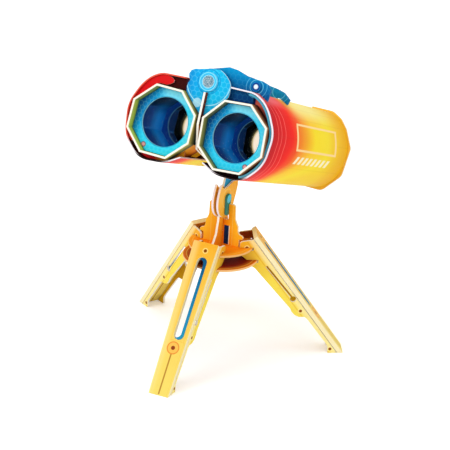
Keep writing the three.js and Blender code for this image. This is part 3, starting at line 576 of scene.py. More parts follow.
def shield_design(p, right, along, up, side):
    cells = p.effect("hex_print", Across=right, Along=up, Size=LARGE_CELL)
    return p.layers(
        p.fade(right, (-19, (0.05, 0.50, 0.78)), (-10, (0.07, 0.66, 0.90)), (2, (0.09, 0.75, 0.91)),
               (19, (0.08, 0.68, 0.88))),
        (p.span(up, -8, -26, 0.45), (0.05, 0.55, 0.78)),
        (cells["Line"], (0.48, 0.90, 0.98), 0.26),
        (cells["Middle"], (0.02, 0.56, 0.82), 0.16),
        (p.ring(right, up, (0, 0), 9.4, 0.7), (0.05, 0.55, 0.80), 0.8),
        (p.ring(right, up, (0, 0), 18.2, 0.8), (0.70, 0.94, 0.99), 0.75),
        (p.spot(right, up, (-6.2, -17.4), 3.6, 0.3), (0.72, 0.91, 0.96), 0.75))


def hinge_cap_design(p, right, along, up, side):
    specks = p.noise(p.where(), 1050.0, 3.0, 0.7)
    centre = p.fade(specks, (0.32, (0.20, 0.36, 0.45)), (0.47, (0.42, 0.56, 0.63)),
                    (0.58, (0.68, 0.76, 0.78)), (0.72, (0.86, 0.70, 0.66)))
    distance = p.distance(right, up)
    return p.layers(
        p.mix(p.span(distance, 4.9, 4.5), (0.17, 0.74, 0.92), centre),
        (p.band(distance, 4.7, 5.3), (0.55, 0.88, 0.97)),
        (p.band(distance, 6.6, 7.1), (0.62, 0.92, 0.98), 0.8))


def hinge_arm_design(side, end):
    def design(p, right, along, up, face):
        if end == "front":
            colour = p.fade(up, (-12, (0.01, 0.20, 0.46)), (-3, (0.01, 0.34, 0.58)),
                            (5, (0.0, 0.45, 0.68)), (13, (0.02, 0.58, 0.80)))
        else:
            colour = p.fade(up, (-12, (0.02, 0.30, 0.52)), (-3, (0.03, 0.46, 0.65)),
                            (5, (0.05, 0.57, 0.76)), (13, (0.07, 0.64, 0.82)))
        out = p.times(right, side)
        cells = p.effect("hex_print", Across=right, Along=up, Size=LARGE_CELL)
        colour = p.layers(
            colour,
            (p.ring(out, up, RIVET, 5.4, 0.5), (0.45, 0.84, 0.95), 0.7),
            (p.ring(out, up, RIVET, 8.6, 0.5), (0.40, 0.80, 0.95), 0.5),
            (cells["Line"], (0.35, 0.80, 0.95), 0.09))
        if side < 0:
            # The left arms' front tip is painted dark maroon as shade inside the left shell.
            shaded_front_tip = p.all(p.span(out, 16.0, 19.0), p.span(along, 30, 20))
            colour = p.mix(shaded_front_tip, colour, (0.24, 0.04, 0.04))
        return colour
    return design


def rivet_design(p, right, along, up, side):
    distance = p.distance(right, up, RIVET)
    return p.fade(distance, (0, (0.93, 0.97, 1.0)), (1.5, (0.88, 0.95, 1.0)), (2.1, (0.03, 0.22, 0.50)),
                  (3.1, (0.02, 0.28, 0.58)), (3.7, (0.10, 0.58, 0.84)))


def face_ring_design(mark):
    def design(p, right, along, up, side):
        cells = p.effect("hex_print", Across=right, Along=up, Size=SMALL_CELL)
        slope = p.minus(right, p.times(up, 0.35))
        distance = p.distance(right, up)
        # The pale cyan over the upper middle of the ring is a painted highlight.
        return p.layers(
            p.fade(slope, (-33, (0.0, 0.13, 0.38)), (-26, (0.01, 0.26, 0.56)), (-19, (0.06, 0.58, 0.84)),
                   (-11, (0.17, 0.83, 0.99)), (30, (0.22, 0.87, 1.0))),
            (p.span(right, 16, 26, 0.55), (0.55, 0.86, 0.97)),
            (p.all(p.span(up, 12, 23, 0.55), p.span(right, -12, 0)), (0.66, 0.95, 1.0)),
            (cells["Line"], (0.50, 0.95, 1.0), 0.26),
            (cells["Middle"], (0.05, 0.70, 0.90), 0.16),
            (p.band(distance, 19.0, 20.0), (0.05, 0.48, 0.68), 0.5),
            (p.spot(right, up, mark, 2.1, 0.4), (0.42, 0.10, 0.16)),
            (p.spot(right, up, mark, 1.5, 0.5), (0.93, 0.66, 0.68)))
    return design


def hood_design(side):
    def design(p, right, along, up, outward, wall_right, wall_up):
        # The hood is yellow card; its fades from the pale front edge back to olive, teal and near black are
        # painted shade in the recess, shaded adds painted shade under the top walls, and the right hood's
        # brown outside is painted shade with a painted reflection of the red shell.
        if side == "left":
            lime = p.fade(along, (0, (0.92, 0.91, 0.58)), (1.2, (0.78, 0.83, 0.36)),
                          (6.0, (0.70, 0.76, 0.26)), (8.0, (0.25, 0.50, 0.38)), (34, (0.10, 0.20, 0.20)))
            outside = p.fade(along, (0, (0.88, 0.85, 0.52)), (2.0, (0.68, 0.64, 0.34)),
                             (6.5, (0.46, 0.48, 0.28)), (11, (0.08, 0.24, 0.26)), (34, (0.04, 0.08, 0.10)))
            gold = p.fade(along, (9, (0.94, 0.66, 0.14)), (26, (0.90, 0.50, 0.06)),
                          (34, (0.42, 0.14, 0.04)))
            under = p.all(p.span(wall_right, 0.2, 0.5), p.span(wall_up, -0.2, -0.5), p.span(along, 9, 12))
            outside = p.mix(under, outside, gold)
        else:
            lime = p.fade(along, (0, (0.92, 0.90, 0.62)), (1.2, (0.66, 0.64, 0.34)),
                          (5.0, (0.50, 0.50, 0.25)), (8.0, (0.10, 0.34, 0.32)), (34, (0.06, 0.16, 0.18)))
            outside = p.fade(along, (0, (0.86, 0.78, 0.62)), (2.0, (0.64, 0.44, 0.30)),
                             (7.0, (0.50, 0.32, 0.22)), (12, (0.20, 0.08, 0.08)), (34, (0.05, 0.03, 0.04)))
        shaded = p.mix(p.span(wall_up, -0.2, -0.9, 0.6), lime, (0.05, 0.24, 0.30))
        return p.mix(outward, shaded, outside)
    return design


def inner_tube_design(p, right, along, up, outward, wall_right, wall_up):
    half_fold = math.pi / 8
    angle = p.plus(p.math("ARCTAN2", up, right), half_fold)
    fold = p.math("ABSOLUTE", p.minus(p.math("FLOORED_MODULO", angle, 2 * half_fold), half_fold))
    # Painted light inside the tube: the fade along it is painted shade near the front and deep in, with a
    # painted highlight between; the right and top walls get painted shade, the inner faces of the left walls
    # a painted highlight, and the bottom walls painted shade.
    return p.layers(
        p.fade(along, (11, (0.30, 0.38, 0.22)), (13.2, (0.34, 0.42, 0.24)), (14.2, (0.0, 0.14, 0.34)),
               (27, (0.0, 0.27, 0.56)), (41, (0.03, 0.66, 1.0)), (51, (0.03, 0.54, 0.90)),
               (60, (0.02, 0.12, 0.26)), (150, (0.03, 0.05, 0.10))),
        (p.span(fold, half_fold - 0.05, half_fold - 0.02), (0.25, 0.58, 0.90), 0.35),
        (p.span(right, 2, 16, 0.85), (0.02, 0.07, 0.12)),
        (p.span(up, 0, 14, 0.9), (0.01, 0.12, 0.18)),
        (p.span(wall_right, 0.86, 0.98), (0.01, 0.26, 0.56), 0.35),
        (p.span(wall_up, 0.3, 0.9, 0.5), (0.0, 0.20, 0.46)),
        (outward, (0.95, 0.68, 0.12)))


def baffle_design(p, right, along, up, side):
    distance = p.distance(right, up)
    colour = p.fade(distance, (16, (0.12, 0.46, 0.62)), (17.6, (0.03, 0.26, 0.55)),
                    (24, (0.03, 0.30, 0.66)))
    return p.mix(p.span(side, 0.1, -0.1), (0.06, 0.07, 0.09), colour)


def lens_holder_design(p, right, along, up, side):
    distance = p.distance(right, up)
    colour = p.fade(distance, (15, (0.66, 0.60, 0.40)), (16.2, (0.42, 0.38, 0.22)),
                    (17.5, (0.14, 0.14, 0.10)), (24, (0.04, 0.05, 0.07)))
    return p.mix(p.span(side, 0.1, -0.1), (0.06, 0.07, 0.09), colour)


def former_front_design(side):
    def design(p, right, along, up, face):
        out = p.times(right, SIDE[side])
        distance = p.distance(right, up)
        if side == "right":
            # Painted shade: near black low down and dark maroon just round the hood.
            return p.layers(
                p.mix(p.span(out, 8.6, 9.6), (0.03, 0.22, 0.56), (0.95, 0.42, 0.34)),
                (p.span(up, -18, -24), (0.05, 0.05, 0.07)),
                (p.span(distance, 30.5, 28.5, 0.6), (0.24, 0.07, 0.07)))
        # The dark maroon inward of the red is painted shade.
        return p.layers(
            p.mix(p.span(out, -6.6, -5.4), (0.16, 0.03, 0.04), (0.96, 0.11, 0.13)),
            (p.band(out, -6.6, -5.2, 0.4), (0.93, 0.66, 0.60)),
            (p.span(distance, 32.5, 36.0, 0.5), (0.80, 0.14, 0.09)),
            (p.all(p.span(up, -6, -12), p.span(out, 4, -4)), (0.95, 0.62, 0.12)))
    return design


def crescent_design(p, right, along, up, face):
    colour = p.fade(up, (-30, (0.90, 0.30, 0.16)), (0, (0.88, 0.11, 0.10)), (20, (0.88, 0.07, 0.10)),
                    (38, (0.87, 0.12, 0.13)))
    return p.mix(p.span(right, -2, 3, 0.35), colour, (0.95, 0.36, 0.34))


def plain_design(*colours):
    """A plain print that fades from the first colour to the last across the piece, bottom to top."""
    def design(p, right, along, up, *faces):
        step = (PLAIN_TOP - PLAIN_BOTTOM) / (len(colours) - 1)
        return p.fade(up, *((PLAIN_BOTTOM + step * i, c) for i, c in enumerate(colours)))
    return design


def eyecup_design(p, right, along, up, outward, wall_right, wall_up):
    outside = p.fade(along, (174, (0.05, 0.30, 0.52)), (178, (0.10, 0.46, 0.70)), (181, (0.20, 0.62, 0.84)))
    return p.mix(outward, (0.05, 0.12, 0.20), outside)


def end_plate_design(p, right, along, up, side):
    distance = p.distance(right, up)
    colour = p.fade(distance, (22, (0.90, 0.48, 0.08)), (28, (0.96, 0.74, 0.22)), (36, (0.96, 0.77, 0.27)))
    return p.mix(p.band(distance, 27.2, 27.8), colour, (0.99, 0.90, 0.60), 0.7)


# Shells
def rounded_section(radius=9.0, steps=8, share=0.45, longest=3.5):
    """The shell's outline with its corners eased, as points with their length along the outline.

    A corner takes up to a share of the sides beside it, and no step is much over the longest.
    """
    points = [Vector(p) for p in SHELL_SECTION]
    line = [points[0]]
    for before, corner, after in zip(points, points[1:], points[2:]):
        to_before, to_after = before - corner, after - corner
        reach = min(radius, share * to_before.length, share * to_after.length)
        start, end = corner + to_before.normalized() * reach, corner + to_after.normalized() * reach
        for i in range(steps + 1):
            t = i / steps
            line.append(start * (1 - t) ** 2 + corner * 2 * t * (1 - t) + end * t * t)
    line.append(points[-1])
    finer = [line[0]]
    for a, b in zip(line, line[1:]):
        cuts = max(1, round((b - a).length / longest))
        finer += [a.lerp(b, i / cuts) for i in range(1, cuts + 1)]
    reach, lengths = 0.0, [0.0]
    for a, b in zip(finer, finer[1:]):
        reach += (b - a).length
        lengths.append(reach)
    return finer, lengths


SECTION, SECTION_LENGTHS = rounded_section()


def nearest_on_section(point):
    """Which of the outline's points lies nearest."""
    return min(range(len(SECTION)), key=lambda i: (SECTION[i] - point).length)


SHELL_CREASES = [SECTION_LENGTHS[nearest_on_section(Vector(corner))] for corner in SHELL_SECTION[1:-1]]


def shell_point(side, point, along):
    share = (along - SHELL_FRONT) / (SHELL_BACK - SHELL_FRONT)
    scale = 1 - SHELL_TAPER * share
    return BARREL[side].at(SIDE[side] * point.x * scale, along, point.y * scale + SHELL_RISE * share)


def piece_from(mesh, name):
    """Turns a finished bmesh into a piece of that name in the scene."""
    made = bpy.data.meshes.new(name)
    mesh.to_mesh(made)
    mesh.free()
    piece = bpy.data.objects.new(name, made)
    bpy.context.scene.collection.objects.link(piece)
    return piece


def sheet_piece(name, side, points, lengths, stations):
    """A card sheet wrapped round the barrel.

    Its UV is the length round the outline and the place along the barrel, in units of WRAP_UNIT.
    """
    mesh = bmesh.new()
    layer = mesh.loops.layers.uv.new("wrap")
    rows = [[mesh.verts.new(shell_point(side, p, q)) for p in points] for q in stations]
    for j, (low, high) in enumerate(zip(rows, rows[1:])):
        for i in range(len(points) - 1):
            corners = [(low[i], i, j), (low[i + 1], i + 1, j)]
            corners += [(high[i + 1], i + 1, j + 1), (high[i], i, j + 1)]
            if side == "left":
                corners.reverse()
            face = mesh.faces.new([c[0] for c in corners])
            face.smooth = True
            for loop, (_, a, b) in zip(face.loops, corners):
                loop[layer].uv = (lengths[a] / WRAP_UNIT, stations[b] / WRAP_UNIT)
    return piece_from(mesh, name)


def ease_edges(piece, width, least_angle):
    """Rounds the cut corners a little, as handling does."""
    ease = piece.modifiers.new("worn_edge", "BEVEL")
    ease.width = width * MM
    ease.segments = 2
    ease.limit_method = "ANGLE"
    ease.angle_limit = math.radians(least_angle)
    ease.harden_normals = True


def add_thickness(piece, thick, ease=SHEET_EASE):
    """Gives a sheet its board, with materials for outside, inside and cut rim."""
    thicken = piece.modifiers.new("board", "SOLIDIFY")
    thicken.thickness = thick * MM
    thicken.offset = -1
    thicken.use_even_offset = True
    thicken.material_offset = 1
    thicken.material_offset_rim = 2
    ease_edges(piece, ease, SHEET_ANGLE)


def red_reach(p, around):
    """How far back the red runs, by place round the outline."""
    reach = p.add("ShaderNodeFloatCurve")
    curve = reach.mapping.curves[0]
    shape = [(0, 42), (26, 48), (38, 66), (60, 70), (74, 62), (86, 45), (100, 33), (125, 25),
             (WRAP_LENGTH, 22)]
    while len(curve.points) < len(shape):
        curve.points.new(0.5, 0.5)
    for point, (place, length) in zip(curve.points, shape):
        point.location = (place / WRAP_LENGTH, length / WRAP_UNIT)
    reach.mapping.update()
    p.feed(reach.inputs["Value"], p.math("DIVIDE", around, WRAP_LENGTH))
    return p.times(reach.outputs[0], WRAP_UNIT)


def shell_print(side):
    """The wrapped shell's outside, with a red front and fine contour lines, fading to yellow.

    The right barrel also has a framed panel and hatch bars.
    """
    material, p = new_paint("shell_print_" + side)
    uv = p.add("ShaderNodeSeparateXYZ")
    wrap = p.add("ShaderNodeUVMap", uv_map="wrap")
    p.feed(uv.inputs[0], wrap.outputs[0])
    around = p.times(uv.outputs[0], WRAP_UNIT)
    along = p.times(uv.outputs[1], WRAP_UNIT)
    stray = p.times(p.minus(p.noise(p.where(), 22.0, 2.0), 0.5), 0.10)
    share = p.plus(p.math("DIVIDE", along, red_reach(p, around)), stray)
    # A painted highlight on the upper facets: pink near the red front, pale yellow further back.
    pink_painted_highlight = p.all(p.span(around, 36, 26), p.span(along, 58, 30))
    pale_painted_highlight = p.all(p.span(around, 44, 28), p.span(along, 45, 80), p.span(along, 165, 100))
    yellow_under = p.all(p.span(around, 96, 112), p.span(along, 40, 70))
    pink_under = p.all(p.span(around, 84, 104), p.span(along, 34, 14))
    colour = p.layers(
        p.fade(share, (0.0, (0.70, 0.01, 0.07)), (0.30, (0.86, 0.02, 0.07)), (0.66, (0.96, 0.10, 0.04)),
               (0.88, (0.97, 0.33, 0.10)), (1.05, (0.97, 0.58, 0.16)), (1.35, (0.99, 0.80, 0.18)),
               (1.9, (0.98, 0.88, 0.18)), (2.6, (0.97, 0.83, 0.16))),
        (p.span(along, 125, 168, 0.85), (0.94, 0.68, 0.10)),
        (pink_painted_highlight, (0.95, 0.45, 0.47), 0.72),
        (pale_painted_highlight, (0.98, 0.93, 0.62), 0.75),
        (yellow_under, (0.97, 0.85, 0.12), 0.55),
        (pink_under, (0.95, 0.40, 0.38), 0.30))
    wave = p.plus(along, p.span(around, 46, 30, 5.0))
    for line, width in ((15.6, 0.75), (22.6, 0.8), (31.4, 0.9)):
        contour = p.all(p.band(wave, line, line + width, 0.35), p.span(around, 30, 36))
        colour = p.mix(contour, colour, (1.0, 0.46, 0.42), 0.9)
    # A faint painted shade along each crease of the shell.
    for crease in SHELL_CREASES:
        fold = p.band(around, crease - 0.3, crease + 0.3, 0.5)
        colour = p.mix(fold, colour, (0.60, 0.22, 0.05), 0.10)
    if side == "right":
        colour = panel_print(p, around, along, colour)
    border = p.minus(along, p.span(around, 108, 98, 1.1))
    colour = p.mix(p.band(border, 0, 3.6, 0.2), colour, (0.93, 0.90, 0.96), 0.85)
    finish_card(p, colour, tone=0.05, gloss=0.44, sheen=0.03)
    return material


def panel_print(p, around, along, colour):
    """The framed panel, left bare, and the row of slanted hatch bars under it."""
    half_height = (PANEL_BOTTOM - PANEL_TOP) / 2
    off = p.math("DIVIDE", p.minus(around, PANEL_TOP + half_height), half_height)
    bow = p.times(p.minus(1.0, p.times(off, off)), PANEL_BOW)
    flat = p.plus(along, bow)
    inside = p.all(p.band(around, PANEL_TOP, PANEL_BOTTOM), p.band(flat, PANEL_FRONT, PANEL_BACK))
    fill = p.fade(along, (58, (0.95, 0.42, 0.10)), (78, (0.97, 0.66, 0.10)), (98, (0.98, 0.88, 0.14)),
                  (126, (0.98, 0.88, 0.18)), (150, (0.96, 0.74, 0.14)))
    heart = p.all(p.band(around, PANEL_TOP + FRAME_HEIGHT, PANEL_BOTTOM - FRAME_HEIGHT),
                  p.band(flat, PANEL_FRONT + FRAME_WIDTH, PANEL_BACK - FRAME_WIDTH))
    frame_line = p.minus(inside, heart, clamp=True)
    lean = p.times(p.minus(BARS_BOTTOM, around), BAR_LEAN)
    slanted = p.minus(along, lean)
    beat = p.math("FLOORED_MODULO", p.minus(slanted, BARS_FRONT), BAR_PITCH)
    bars = p.all(p.band(beat, BAR_START, BAR_END, 0.5), p.band(around, BARS_TOP, BARS_BOTTOM, 0.3),
                 p.band(slanted, BARS_FRONT, BARS_BACK, 0.4))
    return p.layers(
        colour,
        (inside, fill, 0.9),
        (frame_line, (1.0, 0.86, 0.60), 0.95),
        (bars, (1.0, 0.96, 0.82), 0.92))


def shell_inside(side):
    """The shell's bare inside, with painted shade that is darkest at the front; the left one is red just
    behind its front edge.
    """
    material, p = new_paint("shell_inside_" + side)
    _, along, up = p.place(BARREL[side])
    # Painted shade: dark inside the front, lighter towards the back.
    colour = p.fade(along, (3, (0.20, 0.05, 0.05)), (14, (0.12, 0.04, 0.04)), (60, (0.30, 0.24, 0.20)),
                    (172, (0.46, 0.40, 0.34)))
    if side == "left":
        front_edge = p.all(p.span(along, 11, 7), p.span(up, -22, -16))
        colour = p.mix(front_edge, colour, (0.90, 0.15, 0.12))
    finish_card(p, colour)
    return material


def shell_rim(side):
    """The shell's cut edges, pale and layered, with painted shadow under the front; the left one's front is
    red.
    """
    material, p = new_paint("shell_rim_" + side)
    _, along, up = p.place(BARREL[side])
    colour = p.fade(along, (3, (0.93, 0.92, 0.97)), (90, (0.97, 0.95, 0.92)), (173, (0.97, 0.94, 0.88)))
    edge = p.effect("cut_edge", Print=colour, Core=(0.94, 0.92, 0.95), Facing=0.0, Depth=along)["Color"]
    if side == "left":
        edge = p.mix(p.all(p.span(up, -24, -16), p.span(along, 20, 10)), edge, (0.90, 0.38, 0.30))
    # Painted shadow: near black at the bottom of the front edge, under the hood.
    painted_shadow_under_front = p.all(p.span(up, -27.0, -30.5), p.span(along, 20, 10))
    finish_card(p, p.mix(painted_shadow_under_front, edge, (0.10, 0.06, 0.06)))
    return material


def lip_print():
    """The teal of the narrow lining strip just inside the right shell's front edge."""
    material, p = new_paint("lip_print")
    _, _, up = p.place(BARREL["right"])
    teal = p.fade(up, (-34, (0.38, 0.66, 0.74)), (0, (0.25, 0.57, 0.68)), (38, (0.30, 0.62, 0.72)))
    finish_card(p, teal)
    return material


def build_shells():
    for side in SIDE:
        shell = sheet_piece("shell_wrap_" + side, side, SECTION, SECTION_LENGTHS, SHELL_STATIONS)
        for material in (shell_print(side), shell_inside(side), shell_rim(side)):
            shell.data.materials.append(material)
        add_thickness(shell, SHELL_BOARD)
        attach(shell, "barrel_" + side)
        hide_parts("shell_" + side)


def build_lip():
    """The teal lining strip just inside the right shell's front edge."""
    chosen = [(p, a) for p, a in zip(SECTION, SECTION_LENGTHS) if LIP_START < a < LIP_END]
    points = [inset_point(p, LIP_INSET) for p, _ in chosen]
    lip = sheet_piece("shell_lip_right", "right", points, [a for _, a in chosen], LIP_STATIONS)
    material = lip_print()
    for _ in range(3):
        lip.data.materials.append(material)
    add_thickness(lip, LIP_BOARD, ease=0.15)
    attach(lip, "barrel_right")


def hood_reach(angle):
    """How far out the hood's eight-sided wall is, from the barrel's axis."""
    eighth = math.pi / 4
    return HOOD_RADIUS * math.cos(eighth / 2) / math.cos((angle + eighth / 2) % eighth - eighth / 2)


def crescent_growth(length):
    """How wide the crescent is for its room: 0 at its two points, 1 between them."""
    start = min(1.0, (length - CRESCENT_START) / CRESCENT_POINT)
    end = min(1.0, (CRESCENT_END - length) / CRESCENT_POINT)
    return math.sin(start * math.pi / 2) * math.sin(end * math.pi / 2)


def build_crescent():
    """The red board that fills the left barrel's front between the hood and the shell."""
    place = BARREL["left"]
    outer = []
    inner = []
    for point, length in zip(SECTION, SECTION_LENGTHS):
        if not CRESCENT_START < length < CRESCENT_END:
            continue
        edge = inset_point(point, CRESCENT_INSET)
        angle = math.atan2(edge.y, edge.x)
        near = hood_reach(angle)
        room = edge.length - near
        if room > CRESCENT_LEAST:
            middle = near + room * CRESCENT_SHIFT
            half = room / 2 * crescent_growth(length)
            outer.append((angle, min(edge.length, middle + half)))
            inner.append((angle, max(near, middle - half)))
    mesh = bmesh.new()
    rows = [[mesh.verts.new(place.at(-r * math.cos(a), CRESCENT_ALONG, r * math.sin(a))) for a, r in line]
            for line in (outer, inner)]
    for i in range(len(outer) - 1):
        mesh.faces.new([rows[0][i], rows[0][i + 1], rows[1][i + 1], rows[1][i]])
    bmesh.ops.remove_doubles(mesh, verts=mesh.verts, dist=CRESCENT_LEAST * MM)
    piece = piece_from(mesh, "front_crescent_left")
    board = piece.modifiers.new("board", "SOLIDIFY")
    board.thickness = CRESCENT_BOARD * MM
    board.offset = 0
    ease_edges(piece, SHEET_EASE, CRESCENT_ANGLE)
    material = plate_card("front_crescent_print", place, "along", crescent_design, core=(0.95, 0.72, 0.68))
    piece.data.materials.append(material)
    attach(piece, "barrel_left")


def inset_point(point, depth):
    """A section point moved in from the outline by depth."""
    i = nearest_on_section(point)
    a, b = SECTION[max(i - 1, 0)], SECTION[min(i + 1, len(SECTION) - 1)]
    run = (b - a).normalized()
    return point + Vector((run.y, -run.x)) * depth


# Lenses
def clear_lens_paint(name, tint):
    """Thin clear plastic with faint smears."""
    material, p = new_paint(name)
    shader = p.add("ShaderNodeBsdfPrincipled")
    smear = p.noise(p.where(), 240.0, 3.0)
    p.feed(shader.inputs["Base Color"], p.mix(p.span(smear, 0.35, 0.7, 0.5), tint, (0.97, 0.98, 1.0)))
    p.feed(shader.inputs["Roughness"], p.span(smear, 0.45, 0.8, 0.03))
    shader.inputs["Transmission Weight"].default_value = 1.0
    shader.inputs["IOR"].default_value = 1.06
    shader.inputs["Specular IOR Level"].default_value = 0.15
    p.feed(p.add("ShaderNodeOutputMaterial").inputs["Surface"], shader.outputs["BSDF"])
    return material


def cream_lens_paint(name, where):
    """The field lens, pale, with a painted glow for light coming through from the eyepiece end."""
    material, p = new_paint(name)
    right, _, up = p.place(where)
    distance = p.distance(right, up)
    # The darker rim is painted shade.
    colour = p.fade(distance, (0, (0.95, 0.89, 0.82)), (13.2, (0.94, 0.86, 0.76)),
                    (14.2, (0.72, 0.65, 0.48)), (15, (0.50, 0.44, 0.28)))
    finish_card(p, colour, tone=0.03, gloss=0.16, coat=0.2, bump=0.03, glow=1.15)
    return material


def lens_round(mesh, place, radius, along):
    """One round of a lens's points, or its single middle point."""
    if radius == 0:
        return [mesh.verts.new(place.at(0, along, 0))]
    angles = [2 * math.pi * k / LENS_TURNS for k in range(LENS_TURNS)]
    return [mesh.verts.new(place.at(radius * math.cos(a), along, radius * math.sin(a))) for a in angles]


def lens_piece(name, side, radius, front, back, material):
    """A thin lens with a domed front and back, in the room of its flat blank."""
    mesh = bmesh.new()
    shares = [i / LENS_RINGS for i in range(LENS_RINGS + 1)]
    profile = [(radius * share, front + LENS_BULGE * share ** 2) for share in shares]
    profile += [(radius * share, back - LENS_BULGE * share ** 2) for share in reversed(shares)]
    rounds = [lens_round(mesh, BARREL[side], reach, along) for reach, along in profile]
    for a, b in zip(rounds, rounds[1:]):
        for k in range(LENS_TURNS):
            n = (k + 1) % LENS_TURNS
            if len(a) == 1:
                corners = [a[0], b[n], b[k]]
            elif len(b) == 1:
                corners = [a[k], a[n], b[0]]
            else:
                corners = [a[k], a[n], b[n], b[k]]
            mesh.faces.new(corners).smooth = True
    bmesh.ops.recalc_face_normals(mesh, faces=mesh.faces)
    piece = piece_from(mesh, f"{name}_glass_{side}")
    piece.data.set_sharp_from_angle(angle=math.radians(LENS_ANGLE))
    piece.data.materials.append(material)
    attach(piece, "barrel_" + side)
    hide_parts(f"{name}_lens_{side}")


def lens_radius(node):
    """A flat blank's radius: its axis has no part along X, so its width is its diameter."""
    low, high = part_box(node)
    return (high.x - low.x) / 2 / MM


def build_lenses():
    glass = clear_lens_paint("clear_lens", (0.95, 0.96, 0.97))
    for side in SIDE:
        cream = cream_lens_paint("field_lens_paint_" + side, BARREL[side])
        eyepiece_radius = lens_radius("eyepiece_lens_" + side)
        lens_piece("objective", side, OBJECTIVE_RADIUS, OBJECTIVE_FRONT, OBJECTIVE_BACK, glass)
        lens_piece("field", side, FIELD_RADIUS, FIELD_FRONT, FIELD_BACK, cream)
        lens_piece("eyepiece", side, eyepiece_radius, EYEPIECE_FRONT, EYEPIECE_BACK, glass)


# Boards from the part
def dress(node, material, ease):
    """Puts the print on a board of the part and eases its cut corners."""
    piece = nodes[node]
    piece.data.materials.clear()
    piece.data.materials.append(material)
    weld = piece.modifiers.new("joined", "WELD")
    weld.merge_threshold = JOIN_REACH * MM
    ease_edges(piece, ease, BOARD_ANGLE)


def dress_plate(node, where, axis, design, ease=EDGE_EASE, **look):
    dress(node, plate_card(node + "_print", where, axis, design, **look), ease)


def dress_tube(node, where, design, ease=EDGE_EASE, **look):
    dress(node, tube_card(node + "_print", where, design, **look), ease)


def dress_tripod():
    for leg, where in LEG.items():
        dress_plate(f"leg_{leg}_face", where, "up", leg_face_design, core=(0.98, 0.93, 0.74))
        dress_plate(f"leg_{leg}_slot_liner", where, "up", slot_liner_design, core=(0.10, 0.45, 0.70))
        for hand, outer in SIDE.items():
            dress_plate(f"leg_{leg}_cheek_{hand}", where, "right", leg_cheek_design(outer))
    upper = disc_design((0.97, 0.57, 0.06), (0.99, 0.69, 0.16), (0.45, 0.08, 0.02), DISC_UPPER_RADIUS)
    # The lower disc's dark red top is painted shade under the upper disc.
    lower = disc_design((0.62, 0.14, 0.04), (0.93, 0.50, 0.08), (0.42, 0.06, 0.02), DISC_LOWER_RADIUS)
    dress_plate("disc_upper", TRIPOD, "up", upper, core=(0.95, 0.72, 0.42))
    dress_plate("disc_lower", TRIPOD, "up", lower, core=(0.96, 0.76, 0.48))
    dress_plate("post_cross_plate", TRIPOD, "along", post_front_design, core=(0.96, 0.86, 0.70))
    dress_plate("post_spine_plate", TRIPOD, "right", post_spine_design)
    pin = plain_design((0.80, 0.66, 0.44), (0.86, 0.74, 0.54))
    dress_plate("tilt_pin", TILT, "right", pin, core=(0.86, 0.74, 0.54))
    for hand in SIDE:
        dress_plate(f"tilt_cap_{hand}", TILT, "right", tilt_cap_design, core=(0.20, 0.52, 0.52))


def dress_bridge():
    dress_plate("keel_plate", BRIDGE, "right", keel_design)
    for end in ("front", "rear"):
        dress_plate(f"hinge_shield_{end}", HINGE, "along", shield_design, core=(0.70, 0.90, 0.97))
    rod = plain_design((0.78, 0.64, 0.42), (0.88, 0.76, 0.56))
    dress_tube("hinge_rod", HINGE, rod, 0.3, core=(0.84, 0.72, 0.52))
    dress_plate("hinge_cap", HINGE, "along", hinge_cap_design, 0.35, core=(0.55, 0.86, 0.96))
    nut = plain_design((0.10, 0.52, 0.78), (0.16, 0.66, 0.90))
    dress_plate("hinge_nut", HINGE, "along", nut, 0.3, core=(0.30, 0.70, 0.90))
    for hand in SIDE:
        dress_plate(f"tilt_plate_{hand}", TILT, "right", tilt_plate_design, core=(0.95, 0.91, 0.93))


def dress_barrels():
    mid_former = plain_design((0.30, 0.20, 0.16), (0.36, 0.24, 0.18))
    eyepiece_tube = plain_design((0.06, 0.20, 0.34), (0.08, 0.28, 0.46))
    for side, where in BARREL.items():
        ring = face_ring_design(RING_MARK[side])
        dress_plate(f"face_ring_{side}", where, "along", ring, core=(0.60, 0.88, 0.96))
        dress_tube(f"hood_{side}", where, hood_design(side), core=(0.98, 0.96, 0.90))
        # The inner tube's glow is painted light.
        dress_tube(f"inner_tube_{side}", where, inner_tube_design, TUBE_EASE,
                   core=(0.52, 0.54, 0.40), sheen=0.02, glow=0.28)
        # The baffle's glow is painted light.
        dress_plate(f"baffle_{side}", where, "along", baffle_design, core=(0.16, 0.50, 0.66), glow=0.18)
        dress_plate(f"lens_holder_{side}", where, "along", lens_holder_design, core=(0.60, 0.54, 0.36))
        front_former = former_front_design(side)
        dress_plate(f"former_front_{side}", where, "along", front_former, core=(0.70, 0.34, 0.20))
        dress_plate(f"former_mid_{side}", where, "along", mid_former)
        dress_plate(f"end_plate_{side}", where, "along", end_plate_design)
        dress_tube(f"eyecup_{side}", where, eyecup_design)
        dress_tube(f"eyepiece_tube_{side}", where, eyepiece_tube, TUBE_EASE)
        for end in ("front", "rear"):
            arm = hinge_arm_design(SIDE[side], end)
            dress_plate(f"hinge_arm_{side}_{end}", ARMS[side], "along", arm, core=(0.10, 0.40, 0.62))
    dress_plate("hinge_arm_rivet", ARMS["right"], "along", rivet_design, 0.4, core=(0.04, 0.34, 0.62))


